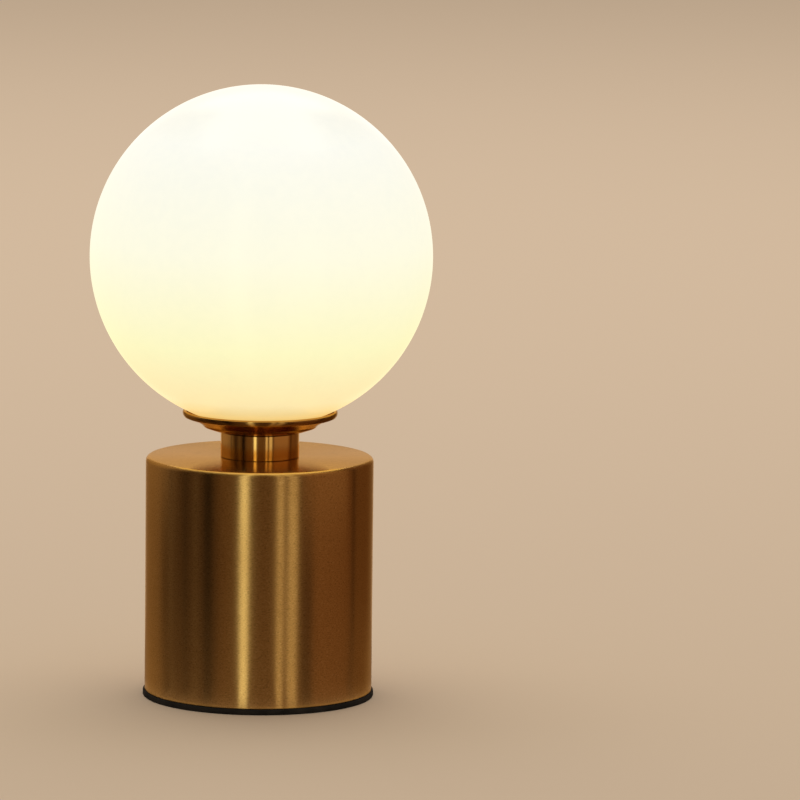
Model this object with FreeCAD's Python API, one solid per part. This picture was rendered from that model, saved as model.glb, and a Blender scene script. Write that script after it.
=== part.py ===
import FreeCAD, Part

import math
import os

# Glass globe table lamp: an opal glass ball on a brass can.
# Millimetres, +Z up. The origin is the centre of the foot's underside, on the table.
# The lamp is seen from -Y. The cord inlet is at the back, towards +Y.

Vec = FreeCAD.Vector
AXIS = Vec(0, 0, 1)

# Foot and base can
FOOT_T = 2.5  # thickness of the foot pad
FOOT_OVERHANG = 0.8  # how far the pad stands out past the can
CAN_R = 50.0  # outer radius of the can
CAN_H = 103.5  # height of the can
CAN_T = 1.2  # sheet thickness of the can
CAN_EDGE_R = 2.0  # rounding of the can's upper edge
PLATE_T = 1.5  # closing plate in the can's mouth
PLATE_CLEAR = 0.2  # radial gap between plate and can
BALLAST_T = 18.0  # thickness of the cast ballast
BALLAST_CLEAR = 0.6  # radial gap between ballast and can

# Threaded tube that ties the lamp together, with its nuts and washers
TUBE_R = 5.0
TUBE_BORE_R = 3.9
THREAD_CLEAR = 0.1  # radial gap where a hole goes over the tube
TUBE_SLOT_W = 6.0  # side slot where the leads go in
TUBE_SLOT_H = 26.0
TUBE_SLOT_UP = 18.0  # from the ballast's top to the slot's lower end
NUT_FLATS = 14.0
NUT_T = 4.0
WASHER_R = 9.0
WASHER_T = 1.0
TUBE_PROUD = 1.5  # length of tube past the lower nut
RECESS_CLEAR = 1.5  # room round the lower nut and under the tube

# Screws that hold the closing plate
PLATE_SCREWS = 3
PLATE_SCREW_INSET = 12.2  # from the ballast's edge to the screws' centres
PLATE_SCREW_R = 2.0
PLATE_SCREW_HEAD_R = 3.8
PLATE_SCREW_L = 11.0
SCREW_CLEAR = 0.1  # radial gap round every small screw
DRIVE_SLOT_W = 0.8  # driver slot in a screw head
DRIVE_SLOT_DEPTH = 0.7

# Cord inlet
INLET_UP = 12.0  # inlet centre above the can's lower edge
GROMMET_BORE_R = 3.6
GROMMET_NECK_R = 5.0
GROMMET_FLANGE_R = 6.8
GROMMET_FLANGE_T = 1.6
NOTCH_CLEAR = 1.2  # room round the grommet in the ballast's notch
NOTCH_DEPTH = 17.0  # depth of the notch from the ballast's edge

# Terminal block on the ballast
POLES = 3
POLE_PITCH = 8.0
BLOCK_DEPTH = 16.0
BLOCK_H = 12.0
BLOCK_X = -20.0  # centre of the block
BLOCK_Y = 14.0
POLE_HOLE_R = 1.5
POLE_HOLE_UP = 5.0
POLE_SCREW_R = 1.4
POLE_SCREW_SPREAD = 8.0  # distance between the two screws of a pole
POLE_SCREW_SUNK = 0.6  # how far each screw lies under the block's top
BLOCK_SCREW_R = 1.2
BLOCK_SCREW_GRIP = 6.0  # length of the block's screw in the ballast

# Leads inside the lamp
LEAD_R = 0.9
LEAD_SPREAD = 1.4  # each lead's distance from the tube's middle plane
LEAD_GRIP = 5.0  # length of lead inside the terminal block
LEAD_GAP = 0.3  # gap between a lead's side and its contact strap
LEAD_OUT = 12.0  # from the block's front face to each lead's first bend
LEAD_EXIT = 1.5  # from the tube's upper end to the leads' bend
LEAD_END = 0.5  # from a lead's last bend and end to the ends of the wiring chamber
LIVE_LOOP_IN = 4.0  # the live lead's loop: towards the tube, forwards and under the slot
LIVE_LOOP_OUT = 12.0
LIVE_LOOP_DROP = 2.0
LIVE_RISE = 10.0  # from the slot's lower end to the lead's last bend outside the tube
LIVE_ENTRY = 18.0  # from the slot's lower end to its bend inside the tube
NEUTRAL_LOOP_IN = 3.0
NEUTRAL_LOOP_OUT = 9.0
NEUTRAL_LOOP_DROP = 7.0
NEUTRAL_RISE = 2.0
NEUTRAL_ENTRY = 10.0
EARTH_LOOP_IN = 5.0
EARTH_LOOP_OUT = 15.0
EARTH_LOOP_DROP = 12.0  # from the middle of its height down to the loop
EARTH_BACK = 5.0  # sideways and forwards from the lug at the upper bend
EARTH_BACK_RISE = 10.0
EARTH_RUN = 10.0  # straight run under the lug's barrel
LUG_T = 0.8
LUG_REACH = 13.9  # from the tube's axis to the earth lug's barrel
LUG_BARREL_R = 1.6
LUG_BARREL_H = 6.0
LUG_W = 4.0
LUG_EYE_IN = 0.5  # how far the lug's eye lies inside the washer's edge
CRIMP_CLEAR = 0.05  # radial gap round a lead in the lug's barrel
LUG_TONGUE_DROP = 2.0  # from the lug's middle down its bent tongue
LUG_GRIP = 0.75  # share of the barrel's height that the lead fills

# Neck sleeve and dish
NECK_R = 17.25
NECK_H = 11.3
NECK_T = 1.0
NECK_EDGE_R = 0.4
DISH_T = 1.0
DISH_FLAT_R = 17.6  # flat middle of the dish
DISH_PAN_R = 24.7  # shallow pan round the flat
DISH_PAN_RISE = 2.0
DISH_KNUCKLE_W = 0.9  # step from the pan to the cone
DISH_KNUCKLE_H = 1.1
DISH_CONE_R = 30.0  # top of the cone
DISH_STEP_W = 1.9  # flat step under the lip
LIP_R = 34.0  # outermost radius of the rolled lip
LIP_ROLL_R = 0.9
LIP_DROP = 2.4  # from the roll's centre to the step's underside
LIP_GAP = 0.45  # gap between the lip and the glass
DISH_PAN_BOW = 0.35  # share of the pan's rise at its middle
LIP_FLARE_OUT = 0.35  # how far the lip's outside bows out of its chord
LIP_FLARE_UP = 0.6  # height of that bow over the step
LIP_FILLET = 0.4  # inner corner between step and lip

# Globe and its seat
GLOBE_R = 75.0
GLOBE_T = 3.0
MOUTH_R = 23.7  # inner radius of the globe's mouth
COLLAR_T = 2.8
COLLAR_H = 0.85  # how far the collar reaches under the ball
COLLAR_ROUND = 0.6
SEAT_T = 1.65  # seat ring under the collar, over the knuckle
SEAT_LAP = 0.5  # how far the seat ring reaches past the collar
SEAT_GAP = 0.3  # gap between the collar and its seat

# Spring clip that holds the globe
CLIP_T = 0.6
CLIP_FINGERS = 3
CLIP_FINGER_W = 6.0
CLIP_GAP = 0.3  # gap between a finger and the glass
CLIP_TIP_UP = 4.6  # from the finger's widest point to its tip
CLIP_TIP_IN = 2.4
CLIP_BASE_IN = 0.2  # how far the clip's ring ends inside the dish's flat
CLIP_ROOT = 0.7  # how far each finger starts inside that ring's edge
CLIP_KNEE_OUT = 0.4  # first bend of a finger, past the dish's flat and over it
CLIP_KNEE_UP = 0.5
CLIP_SPAN = 3.4  # second bend of a finger, past the dish's flat
CLIP_UNDER_SEAT = 0.2  # that bend's height under the seat ring's top
CLIP_PRESS_HALF = 0.3  # half the height of the finger's pressing face

# Lampholder
HOLDER_R = 13.9
HOLDER_CAP_H = 9.5
HOLDER_CAP_T = 1.5
HOLDER_FLOOR_T = 2.5
HOLDER_BODY_H = 37.0
HOLDER_CHAMBER_H = 5.0
HOLDER_WEB_T = 4.0
HOLDER_LEDGE_H = 3.0  # from the web to the ledge that carries the screw shell
HOLDER_FIT = 0.1  # gap round the holder in dish, clip and ring
TUBE_IN_CAP = 4.5  # length of the tube inside the lampholder's cap
GROOVES = 6
GROOVE_PITCH = 2.0
GROOVE_DEPTH = 0.5
GROOVE_W = 1.0
RING_H = 5.5  # shade ring
RING_T = 2.4
RING_GRIPS = 16
RING_GRIP_R = 0.6
STRAP_T = 0.5  # contact straps
STRAP_W = 4.0
LIVE_STRAP_X = 5.4
SHELL_STRAP_GAP = 0.2  # gap between the strap and the shell's crest
STRAP_CLEAR = 0.15
LEAF_RISE = 1.3
LEAF_REACH = 2.5
STRAP_SCREW_R = 1.0
STRAP_SCREW_HEAD_R = 1.6
STRAP_SCREW_HEAD_T = 1.6
STRAP_SCREW_L = 2.4
HOLDER_MOUTH_CLEAR = 0.6  # radial gap round the bulb's collar in the holder's mouth
STRAP_FOOT_UP = 0.4  # from the wiring chamber's floor to the straps' lower ends
LEAF_BEND = (0.8, 0.4)  # the leaf's bend, inwards and up from the strap's knee
LEAF_START_X = 1.0  # where the leaf lies level, towards the bulb's tip

# Screw thread of bulb and lampholder, a rounded one-start thread
PITCH = 2.822
BULB_THREAD_R = 6.945
THREAD_DEPTH = 0.8
THREAD_GAP = 0.15
SHELL_T = 0.4
HOLDER_SHELL_H = 17.6

# Bulb
TIP_GAP = 0.3  # gap between the bulb's tip and the spring leaf
TIP_R = 4.6
TIP_H = 1.8
TIP_DOME = 0.7
INSULATOR_H = 3.4
INSULATOR_FOOT = 0.2  # how far the insulator's foot stands out past the tip
INSULATOR_CONE = 0.8  # share of the insulator's height that is a cone
BULB_THREAD_L = 14.1
BULB_SHELL_T = 0.4  # wall left under the thread's roots
BULB_COLLAR_R = 7.9
BULB_COLLAR_H = 7.15
COLLAR_START_IN = 0.1  # how far the collar's flare starts inside the thread's root
HOUSING_FIT = 0.1
HOUSING_T = 1.6
HOUSING_H = 19.5
HOUSING_LEDGE = 1.4
HOUSING_FOOT_OUT = 0.4  # how far the housing's foot stands out past the cap's collar
HOUSING_WAIST = 0.3  # share of the housing's flare reached at half its height
SPIGOT_L = 6.0
BULB_R = 17.5
BULB_JOINT_R = 16.6  # radius where housing and diffuser meet
BULB_WAIST_UP = 9.8  # from that joint to the widest point
BULB_TIP_UP = 51.5  # from that joint to the start of the rounded tip
BULB_TIP_R = 3.2
DIFFUSER_T = 1.2
BOARD_T = 1.2
LED_BOARD_EDGE = 0.3
LEDS = 6
LED_SIZE = 2.8
LED_T = 0.7
LED_PITCH_R = 9.5
DRIVER_W = 10.6
DRIVER_L = 20.0
COIL_SIZE = 5.4
CAP_R = 3.5
CAP_H = 9.0
COIL_CORE_SHARE = 0.6  # the coil core's radius as a share of half its former
DRIVER_PART_UP = 10.0  # coil and capacitor above the driver board's lower end

# Levels that follow from the sizes above
Z_CAN = FOOT_T
Z_TOP = Z_CAN + CAN_H
Z_BALLAST = Z_CAN + PLATE_T
Z_BALLAST_TOP = Z_BALLAST + BALLAST_T
RECESS_H = RECESS_CLEAR + TUBE_PROUD + NUT_T + WASHER_T
Z_RECESS = Z_BALLAST + RECESS_H
Z_TUBE = Z_BALLAST + RECESS_CLEAR
Z_CAN_ROOF = Z_TOP - CAN_T
Z_HOLDER = Z_TOP + NECK_T
Z_TUBE_TOP = Z_HOLDER + TUBE_IN_CAP
Z_BODY = Z_HOLDER + HOLDER_CAP_H
Z_WEB = Z_BODY + HOLDER_CHAMBER_H
Z_WEB_TOP = Z_WEB + HOLDER_WEB_T
Z_LEDGE = Z_WEB_TOP + HOLDER_LEDGE_H
Z_SHELL_TOP = Z_LEDGE + HOLDER_SHELL_H
Z_BODY_TOP = Z_BODY + HOLDER_BODY_H
Z_DISH = Z_TOP + NECK_H
Z_CLIP = Z_DISH + DISH_T
Z_RING = Z_CLIP + CLIP_T
Z_KNUCKLE = Z_DISH + DISH_PAN_RISE + DISH_KNUCKLE_H + DISH_T
COLLAR_R = MOUTH_R + COLLAR_T
Z_SEAT = Z_KNUCKLE + SEAT_T
Z_COLLAR = Z_SEAT + SEAT_GAP
Z_GLOBE = Z_COLLAR + COLLAR_H + math.sqrt(GLOBE_R**2 - COLLAR_R**2)
LIP_CENTRE_R = LIP_R - LIP_ROLL_R
Z_LIP = Z_GLOBE - math.sqrt((GLOBE_R + LIP_GAP + LIP_ROLL_R) ** 2 - LIP_CENTRE_R**2)
Z_TIP = Z_WEB_TOP + LEAF_RISE + STRAP_T + TIP_GAP
Z_THREAD = Z_TIP + TIP_H + INSULATOR_H
Z_COLLAR_BULB = Z_THREAD + BULB_THREAD_L
Z_HOUSING = Z_COLLAR_BULB + BULB_COLLAR_H
Z_JOINT = Z_HOUSING + HOUSING_H
CAN_IN_R = CAN_R - CAN_T
BALLAST_R = CAN_IN_R - BALLAST_CLEAR
PLATE_SCREW_PITCH_R = BALLAST_R - PLATE_SCREW_INSET
HOLE_R = TUBE_R + THREAD_CLEAR
SHELL_IN_R = BULB_THREAD_R + THREAD_GAP
SHELL_OUT_R = SHELL_IN_R + SHELL_T
BULB_THREAD_ROOT_R = BULB_THREAD_R - THREAD_DEPTH
BULB_THREAD_IN_R = BULB_THREAD_ROOT_R - BULB_SHELL_T
BULB_COLLAR_IN_R = BULB_COLLAR_R - BULB_SHELL_T
HOUSING_IN_R = BULB_THREAD_IN_R - HOUSING_FIT


def disc(radius, low, high):
    """Solid cylinder on the lamp's axis."""
    return Part.makeCylinder(radius, high - low, Vec(0, 0, low))


def ring(outer, inner, low, high):
    """Solid tube on the lamp's axis."""
    return disc(outer, low, high).cut(disc(inner, low, high))


def block(x_low, x_high, y_low, y_high, z_low, z_high):
    """Solid box between two corners."""
    corner = Vec(x_low, y_low, z_low)
    return Part.makeBox(x_high - x_low, y_high - y_low, z_high - z_low, corner)


def section(start, steps):
    """Closed face in the XZ plane. A step is (x, z), or (mid x, mid z, x, z) for an arc."""
    edges = []
    here = Vec(start[0], 0, start[1])
    for step in list(steps) + [start]:
        there = Vec(step[-2], 0, step[-1])
        if len(step) == 4:
            edges.append(Part.Arc(here, Vec(step[0], 0, step[1]), there).toShape())
        elif here.distanceToPoint(there) > 1e-6:
            edges.append(Part.LineSegment(here, there).toShape())
        here = there
    return Part.Face(Part.Wire(edges))


def turned(start, steps):
    """Solid of revolution about the lamp's axis from a section."""
    return section(start, steps).revolve(Vec(0, 0, 0), AXIS, 360)


def strip(points, thickness, width):
    """Bent sheet strip: a line in the XZ plane thickened both ways and drawn along Y."""
    half = thickness / 2
    left = []
    right = []
    count = len(points)
    for index, (x, z) in enumerate(points):
        before = points[max(index - 1, 0)]
        after = points[min(index + 1, count - 1)]
        first = Vec(x - before[0], 0, z - before[1])
        second = Vec(after[0] - x, 0, after[1] - z)
        first = first if first.Length else second
        second = second if second.Length else first
        first.normalize()
        second.normalize()
        middle = first + second
        middle.normalize()
        reach = half / max(middle.dot(first), 0.2)
        normal = Vec(-middle.z, 0, middle.x)
        left.append(Vec(x, 0, z) + normal * reach)
        right.append(Vec(x, 0, z) - normal * reach)
    corners = left + right[::-1]
    face = Part.Face(Part.makePolygon(corners + corners[:1]))
    solid = face.extrude(Vec(0, width, 0))
    solid.translate(Vec(0, -width / 2, 0))
    return solid


def around(shape, degrees, x=0.0, y=0.0):
    """Copy of a shape turned about a vertical axis."""
    copy = shape.copy()
    copy.rotate(Vec(x, y, 0), AXIS, degrees)
    return copy


def hex_nut(low):
    """Thin hexagon nut on the threaded tube."""
    corner_r = NUT_FLATS / math.sqrt(3)
    corners = [
        Vec(corner_r * math.cos(math.radians(60 * i)), corner_r * math.sin(math.radians(60 * i)), low)
        for i in range(7)
    ]
    prism = Part.Face(Part.makePolygon(corners)).extrude(Vec(0, 0, NUT_T))
    bevel = corner_r - NUT_FLATS / 2
    turned_blank = turned(
        (0, low),
        [
            (corner_r - bevel, low),
            (corner_r, low + bevel / 2),
            (corner_r, low + NUT_T - bevel / 2),
            (corner_r - bevel, low + NUT_T),
            (0, low + NUT_T),
        ],
    )
    return prism.common(turned_blank).cut(disc(HOLE_R, low - 1, low + NUT_T + 1))


def thread_bar(radius, low, high):
    """Bar with the rounded thread: a circle carried up a fine helix without turning."""
    offset = THREAD_DEPTH / 2
    helix = Part.makeHelix(PITCH, high - low, offset)
    circle = Part.Wire([Part.makeCircle(radius - offset, Vec(offset, 0, 0), AXIS)])
    shell = Part.BRepOffsetAPI.MakePipeShell(Part.Wire(helix.Edges))
    shell.setTrihedronMode(Vec(0, 0, 0), AXIS)
    shell.add(circle)
    shell.build()
    shell.makeSolid()
    bar = shell.shape()
    bar.rotate(Vec(0, 0, 0), AXIS, 360 * (low - Z_THREAD) / PITCH)
    bar.translate(Vec(0, 0, low))
    return bar


def driver_slot(length, x, y, z):
    """Cutter for the slot in an upright screw's head, whose top is at z."""
    half = DRIVE_SLOT_W / 2
    return block(x - length, x + length, y - half, y + half, z - DRIVE_SLOT_DEPTH, z + 1)


def lead(points):
    """Round lead along straight runs joined by arcs as large as the runs allow."""
    corners = [Vec(*point) for point in points]
    edges = []
    here = corners[0]
    for before, corner, after in zip(corners, corners[1:], corners[2:]):
        back = before - corner
        ahead = after - corner
        reach = 0.45 * min(back.Length, ahead.Length)
        back.normalize()
        ahead.normalize()
        half_turn = (math.pi - back.getAngle(ahead)) / 2
        radius = reach / math.tan(half_turn)
        bisector = back + ahead
        bisector.normalize()
        centre_gap = radius / math.cos(half_turn)
        middle = corner + bisector * (centre_gap - radius)
        start = corner + back * reach
        end = corner + ahead * reach
        edges.append(Part.LineSegment(here, start).toShape())
        edges.append(Part.Arc(start, middle, end).toShape())
        here = end
    edges.append(Part.LineSegment(here, corners[-1]).toShape())
    length = sum(edge.Length for edge in edges)
    path = Part.Wire(edges)
    circle = Part.Wire([Part.makeCircle(LEAD_R, corners[0], corners[1] - corners[0])])
    solid = path.makePipeShell([circle], True, False)
    ratio = solid.Volume / (math.pi * LEAD_R**2 * length)
    radii = [edge.Curve.Radius for edge in edges if isinstance(edge.Curve, Part.Circle)]
    print("lead", round(length, 1), "mm, volume ratio", round(ratio, 4), [round(r, 1) for r in radii])
    return solid


def foot_pad():
    """Soft disc that the lamp stands on."""
    return disc(CAN_R + FOOT_OVERHANG, 0, FOOT_T)


def inlet_place(y):
    """Point on the cord inlet's axis."""
    return Vec(0, y, Z_CAN + INLET_UP)


def base_can():
    """Drawn can, open below, with its top's hole and the cord hole at the back."""
    inner_edge = max(CAN_EDGE_R - CAN_T, 0.2)
    diagonal = 1 - math.sqrt(0.5)
    can = turned(
        (CAN_IN_R, Z_CAN),
        [
            (CAN_R, Z_CAN),
            (CAN_R, Z_TOP - CAN_EDGE_R),
            (CAN_R - CAN_EDGE_R * diagonal, Z_TOP - CAN_EDGE_R * diagonal, CAN_R - CAN_EDGE_R, Z_TOP),
            (HOLE_R, Z_TOP),
            (HOLE_R, Z_CAN_ROOF),
            (CAN_IN_R - inner_edge, Z_CAN_ROOF),
            (
                CAN_IN_R - inner_edge * diagonal,
                Z_CAN_ROOF - inner_edge * diagonal,
                CAN_IN_R,
                Z_CAN_ROOF - inner_edge,
            ),
        ],
    )
    start = CAN_R / 2
    hole = Part.makeCylinder(GROMMET_NECK_R, CAN_R, inlet_place(start), Vec(0, 1, 0))
    return can.cut(hole)


def cord_grommet(can):
    """Soft bush in the can's cord hole, a flange on each side of the sheet."""
    inner_y = CAN_IN_R - GROMMET_FLANGE_T - (CAN_R - math.sqrt(CAN_R**2 - GROMMET_FLANGE_R**2))
    outer_y = CAN_R + GROMMET_FLANGE_T
    along = Vec(0, 1, 0)
    body = Part.makeCylinder(GROMMET_FLANGE_R, outer_y - inner_y, inlet_place(inner_y), along)
    bore = Part.makeCylinder(GROMMET_BORE_R, outer_y - inner_y + 2, inlet_place(inner_y - 1), along)
    sheet = ring(CAN_R, CAN_IN_R, Z_CAN, Z_TOP)
    neck = Part.makeCylinder(GROMMET_NECK_R, CAN_R, inlet_place(CAN_R / 2), along)
    return body.cut(sheet.cut(neck)).cut(bore)


def plate_screw_places():
    """Centres of the closing plate's screws."""
    for index in range(PLATE_SCREWS):
        angle = math.radians(30 + 360 * index / PLATE_SCREWS)
        yield PLATE_SCREW_PITCH_R * math.cos(angle), PLATE_SCREW_PITCH_R * math.sin(angle)


def plate_screw_blank(grow):
    """Countersunk screw on the lamp's axis, head down, grown by a clearance."""
    shank_r = PLATE_SCREW_R + grow
    head_r = PLATE_SCREW_HEAD_R + grow
    return turned(
        (0, Z_CAN),
        [
            (head_r, Z_CAN),
            (shank_r, Z_CAN + head_r - shank_r),
            (shank_r, Z_CAN + PLATE_SCREW_L + grow),
            (0, Z_CAN + PLATE_SCREW_L + grow),
        ],
    )


def plate_screws():
    """The screws that hold the closing plate to the ballast."""
    blank = plate_screw_blank(0.0)
    half = DRIVE_SLOT_W / 2
    reach = PLATE_SCREW_HEAD_R
    low = Z_CAN - 1
    high = Z_CAN + DRIVE_SLOT_DEPTH
    cross = block(-reach, reach, -half, half, low, high).fuse(block(-half, half, -reach, reach, low, high))
    blank = blank.cut(cross)
    for x, y in plate_screw_places():
        screw = blank.copy()
        screw.translate(Vec(x, y, 0))
        yield screw


def plate_screw_holes(shape):
    """A shape with the closing plate's screw holes cut into it."""
    for x, y in plate_screw_places():
        cutter = plate_screw_blank(SCREW_CLEAR)
        cutter.translate(Vec(x, y, 0))
        shape = shape.cut(cutter)
    return shape


def closing_plate():
    """Plate that closes the can's mouth."""
    return plate_screw_holes(disc(CAN_IN_R - PLATE_CLEAR, Z_CAN, Z_BALLAST))


def pole_x(index):
    """Place of one pole of the terminal block along X."""
    return BLOCK_X + (index - (POLES - 1) / 2) * POLE_PITCH


def block_screw_x():
    """Place of the block's own screw, between the first two poles."""
    return pole_x(0) + POLE_PITCH / 2


def ballast():
    """Cast disc with a recess for the lower nut and a notch for the cord."""
    body = disc(BALLAST_R, Z_BALLAST, Z_BALLAST_TOP)
    nut_room = NUT_FLATS / math.sqrt(3) + RECESS_CLEAR
    recess_r = max(nut_room, WASHER_R + RECESS_CLEAR)
    body = body.cut(disc(recess_r, Z_BALLAST - 1, Z_RECESS))
    body = body.cut(disc(HOLE_R, Z_BALLAST - 1, Z_BALLAST_TOP + 1))
    notch_half = GROMMET_FLANGE_R + NOTCH_CLEAR
    notch_y = BALLAST_R - NOTCH_DEPTH
    body = body.cut(block(-notch_half, notch_half, notch_y, CAN_R, Z_BALLAST - 1, Z_BALLAST_TOP + 1))
    hole_r = BLOCK_SCREW_R + SCREW_CLEAR
    low = Z_BALLAST_TOP - BLOCK_SCREW_GRIP - SCREW_CLEAR
    hole = Part.makeCylinder(hole_r, BLOCK_SCREW_GRIP + 1, Vec(block_screw_x(), BLOCK_Y, low))
    return plate_screw_holes(body.cut(hole))


def threaded_tube():
    """Tube through the whole lamp, with a side slot for the leads."""
    tube = ring(TUBE_R, TUBE_BORE_R, Z_TUBE, Z_TUBE_TOP)
    low = Z_BALLAST_TOP + TUBE_SLOT_UP
    half = TUBE_SLOT_W / 2
    return tube.cut(block(-TUBE_R - 1, 0, -half, half, low, low + TUBE_SLOT_H))


def washer(low):
    """Plain washer on the threaded tube."""
    return ring(WASHER_R, HOLE_R, low, low + WASHER_T)


def terminal_block():
    """Insulating block with a through hole and two screw holes for each pole."""
    half_width = POLES * POLE_PITCH / 2
    low_y = BLOCK_Y - BLOCK_DEPTH / 2
    high_y = BLOCK_Y + BLOCK_DEPTH / 2
    top = Z_BALLAST_TOP + BLOCK_H
    body = block(BLOCK_X - half_width, BLOCK_X + half_width, low_y, high_y, Z_BALLAST_TOP, top)
    hole_z = Z_BALLAST_TOP + POLE_HOLE_UP
    for index in range(POLES):
        start = Vec(pole_x(index), low_y - 1, hole_z)
        body = body.cut(Part.makeCylinder(POLE_HOLE_R, BLOCK_DEPTH + 2, start, Vec(0, 1, 0)))
        for x, y in pole_screw_places(index):
            radius = POLE_SCREW_R + SCREW_CLEAR
            body = body.cut(Part.makeCylinder(radius, BLOCK_H, Vec(x, y, hole_z)))
    for index in range(POLES - 1):
        x = pole_x(index) + POLE_PITCH / 2
        groove = Part.makeCylinder(POLE_PITCH / 8, BLOCK_DEPTH + 2, Vec(x, low_y - 1, top), Vec(0, 1, 0))
        body = body.cut(groove)
    radius = BLOCK_SCREW_R + SCREW_CLEAR
    head_r = 2 * BLOCK_SCREW_R + SCREW_CLEAR
    head_z = top - POLE_PITCH / 8 - BLOCK_SCREW_R
    body = body.cut(Part.makeCylinder(radius, BLOCK_H + 2, Vec(block_screw_x(), BLOCK_Y, Z_BALLAST_TOP - 1)))
    return body.cut(Part.makeCylinder(head_r, BLOCK_H, Vec(block_screw_x(), BLOCK_Y, head_z)))


def block_screw():
    """Screw that holds the terminal block to the ballast."""
    x = block_screw_x()
    low = Z_BALLAST_TOP - BLOCK_SCREW_GRIP
    head_z = Z_BALLAST_TOP + BLOCK_H - POLE_PITCH / 8 - BLOCK_SCREW_R
    shank = Part.makeCylinder(BLOCK_SCREW_R, head_z - low, Vec(x, BLOCK_Y, low))
    head = Part.makeCylinder(2 * BLOCK_SCREW_R, BLOCK_SCREW_R, Vec(x, BLOCK_Y, head_z))
    return shank.fuse(head).cut(driver_slot(2 * BLOCK_SCREW_R, x, BLOCK_Y, head_z + BLOCK_SCREW_R))


def pole_screw_places(index):
    """Centres of one pole's two screws."""
    for side in (-1, 1):
        yield pole_x(index), BLOCK_Y + side * POLE_SCREW_SPREAD / 2


def pole_screws():
    """Clamping screws of the terminal block, two for each pole."""
    low = Z_BALLAST_TOP + POLE_HOLE_UP + LEAD_R
    high = Z_BALLAST_TOP + BLOCK_H - POLE_SCREW_SUNK
    for index in range(POLES):
        for x, y in pole_screw_places(index):
            screw = Part.makeCylinder(POLE_SCREW_R, high - low, Vec(x, y, low))
            yield screw.cut(driver_slot(POLE_SCREW_R, x, y, high))


def earth_lug():
    """Ring lug under the can's lock nut, with a barrel for the earth lead."""
    high = Z_CAN_ROOF - WASHER_T
    low = high - LUG_T
    mid = (low + high) / 2
    bend_x = -(LUG_REACH - LUG_BARREL_R)
    eye = ring(WASHER_R - LUG_EYE_IN, HOLE_R, low, high)
    tongue = strip([(-HOLE_R - 1, mid), (bend_x, mid), (bend_x, mid - LUG_T - LUG_TONGUE_DROP)], LUG_T, LUG_W)
    barrel = Part.makeCylinder(LUG_BARREL_R, LUG_BARREL_H, Vec(-LUG_REACH, 0, low - 1 - LUG_BARREL_H))
    hole_start = Vec(-LUG_REACH, 0, low - 2 - LUG_BARREL_H)
    barrel_hole = Part.makeCylinder(LEAD_R + CRIMP_CLEAR, LUG_BARREL_H, hole_start)
    return eye.fuse(tongue).fuse(barrel).removeSplitter().cut(barrel_hole)


def lead_start(index):
    """First two points of the lead that leaves one pole of the terminal block."""
    x = pole_x(index)
    front_y = BLOCK_Y - BLOCK_DEPTH / 2
    z = Z_BALLAST_TOP + POLE_HOLE_UP
    return [(x, front_y + LEAD_GRIP, z), (x, front_y - LEAD_OUT, z)]


def strap_side_y():
    """Distance of a lead's end from the middle plane, beside its contact strap."""
    return STRAP_W / 2 + LEAD_R + LEAD_GAP


def live_lead():
    """Lead from the first pole through the tube to the centre contact."""
    slot = Z_BALLAST_TOP + TUBE_SLOT_UP
    end_y = strap_side_y()
    end_x = LIVE_STRAP_X + STRAP_T / 2 + LEAD_R
    return lead(
        lead_start(0)
        + [
            (pole_x(0) + LIVE_LOOP_IN, -LIVE_LOOP_OUT, slot - LIVE_LOOP_DROP),
            (pole_x(0) / 2, LEAD_SPREAD, slot + LIVE_RISE),
            (0, LEAD_SPREAD, slot + LIVE_ENTRY),
            (0, LEAD_SPREAD, Z_TUBE_TOP + LEAD_EXIT),
            (end_x, end_y, Z_BODY - LEAD_END),
            (end_x, end_y, Z_WEB - LEAD_END),
        ]
    )


def neutral_lead():
    """Lead from the second pole through the tube to the shell contact."""
    slot = Z_BALLAST_TOP + TUBE_SLOT_UP
    end_y = strap_side_y()
    end_x = -shell_strap_x() + STRAP_T / 2 + LEAD_R
    return lead(
        lead_start(1)
        + [
            (pole_x(1) + NEUTRAL_LOOP_IN, -NEUTRAL_LOOP_OUT, slot - NEUTRAL_LOOP_DROP),
            (pole_x(1) / 2, -LEAD_SPREAD, slot + NEUTRAL_RISE),
            (0, -LEAD_SPREAD, slot + NEUTRAL_ENTRY),
            (0, -LEAD_SPREAD, Z_TUBE_TOP + LEAD_EXIT),
            (end_x, -end_y, Z_BODY - LEAD_END),
            (end_x, -end_y, Z_WEB - LEAD_END),
        ]
    )


def earth_lead():
    """Lead from the third pole to the earth lug under the can's top."""
    barrel_low = Z_CAN_ROOF - WASHER_T - LUG_T - 1 - LUG_BARREL_H
    middle = (Z_BALLAST_TOP + barrel_low) / 2
    return lead(
        lead_start(2)
        + [
            (pole_x(2) - EARTH_LOOP_IN, -EARTH_LOOP_OUT, middle - EARTH_LOOP_DROP),
            (-LUG_REACH - EARTH_BACK, -EARTH_BACK, middle + EARTH_BACK_RISE),
            (-LUG_REACH, 0, barrel_low - EARTH_RUN),
            (-LUG_REACH, 0, barrel_low + LUG_BARREL_H * LUG_GRIP),
        ]
    )


def neck_sleeve():
    """Short polished sleeve between can and dish, with a floor round the tube."""
    inner = NECK_R - NECK_T
    diagonal = NECK_EDGE_R * (1 - math.sqrt(0.5))
    return turned(
        (HOLE_R, Z_TOP),
        [
            (NECK_R - NECK_EDGE_R, Z_TOP),
            (NECK_R - diagonal, Z_TOP + diagonal, NECK_R, Z_TOP + NECK_EDGE_R),
            (NECK_R, Z_DISH - NECK_EDGE_R),
            (NECK_R - diagonal, Z_DISH - diagonal, NECK_R - NECK_EDGE_R, Z_DISH),
            (inner, Z_DISH),
            (inner, Z_HOLDER),
            (HOLE_R, Z_HOLDER),
        ],
    )


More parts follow.
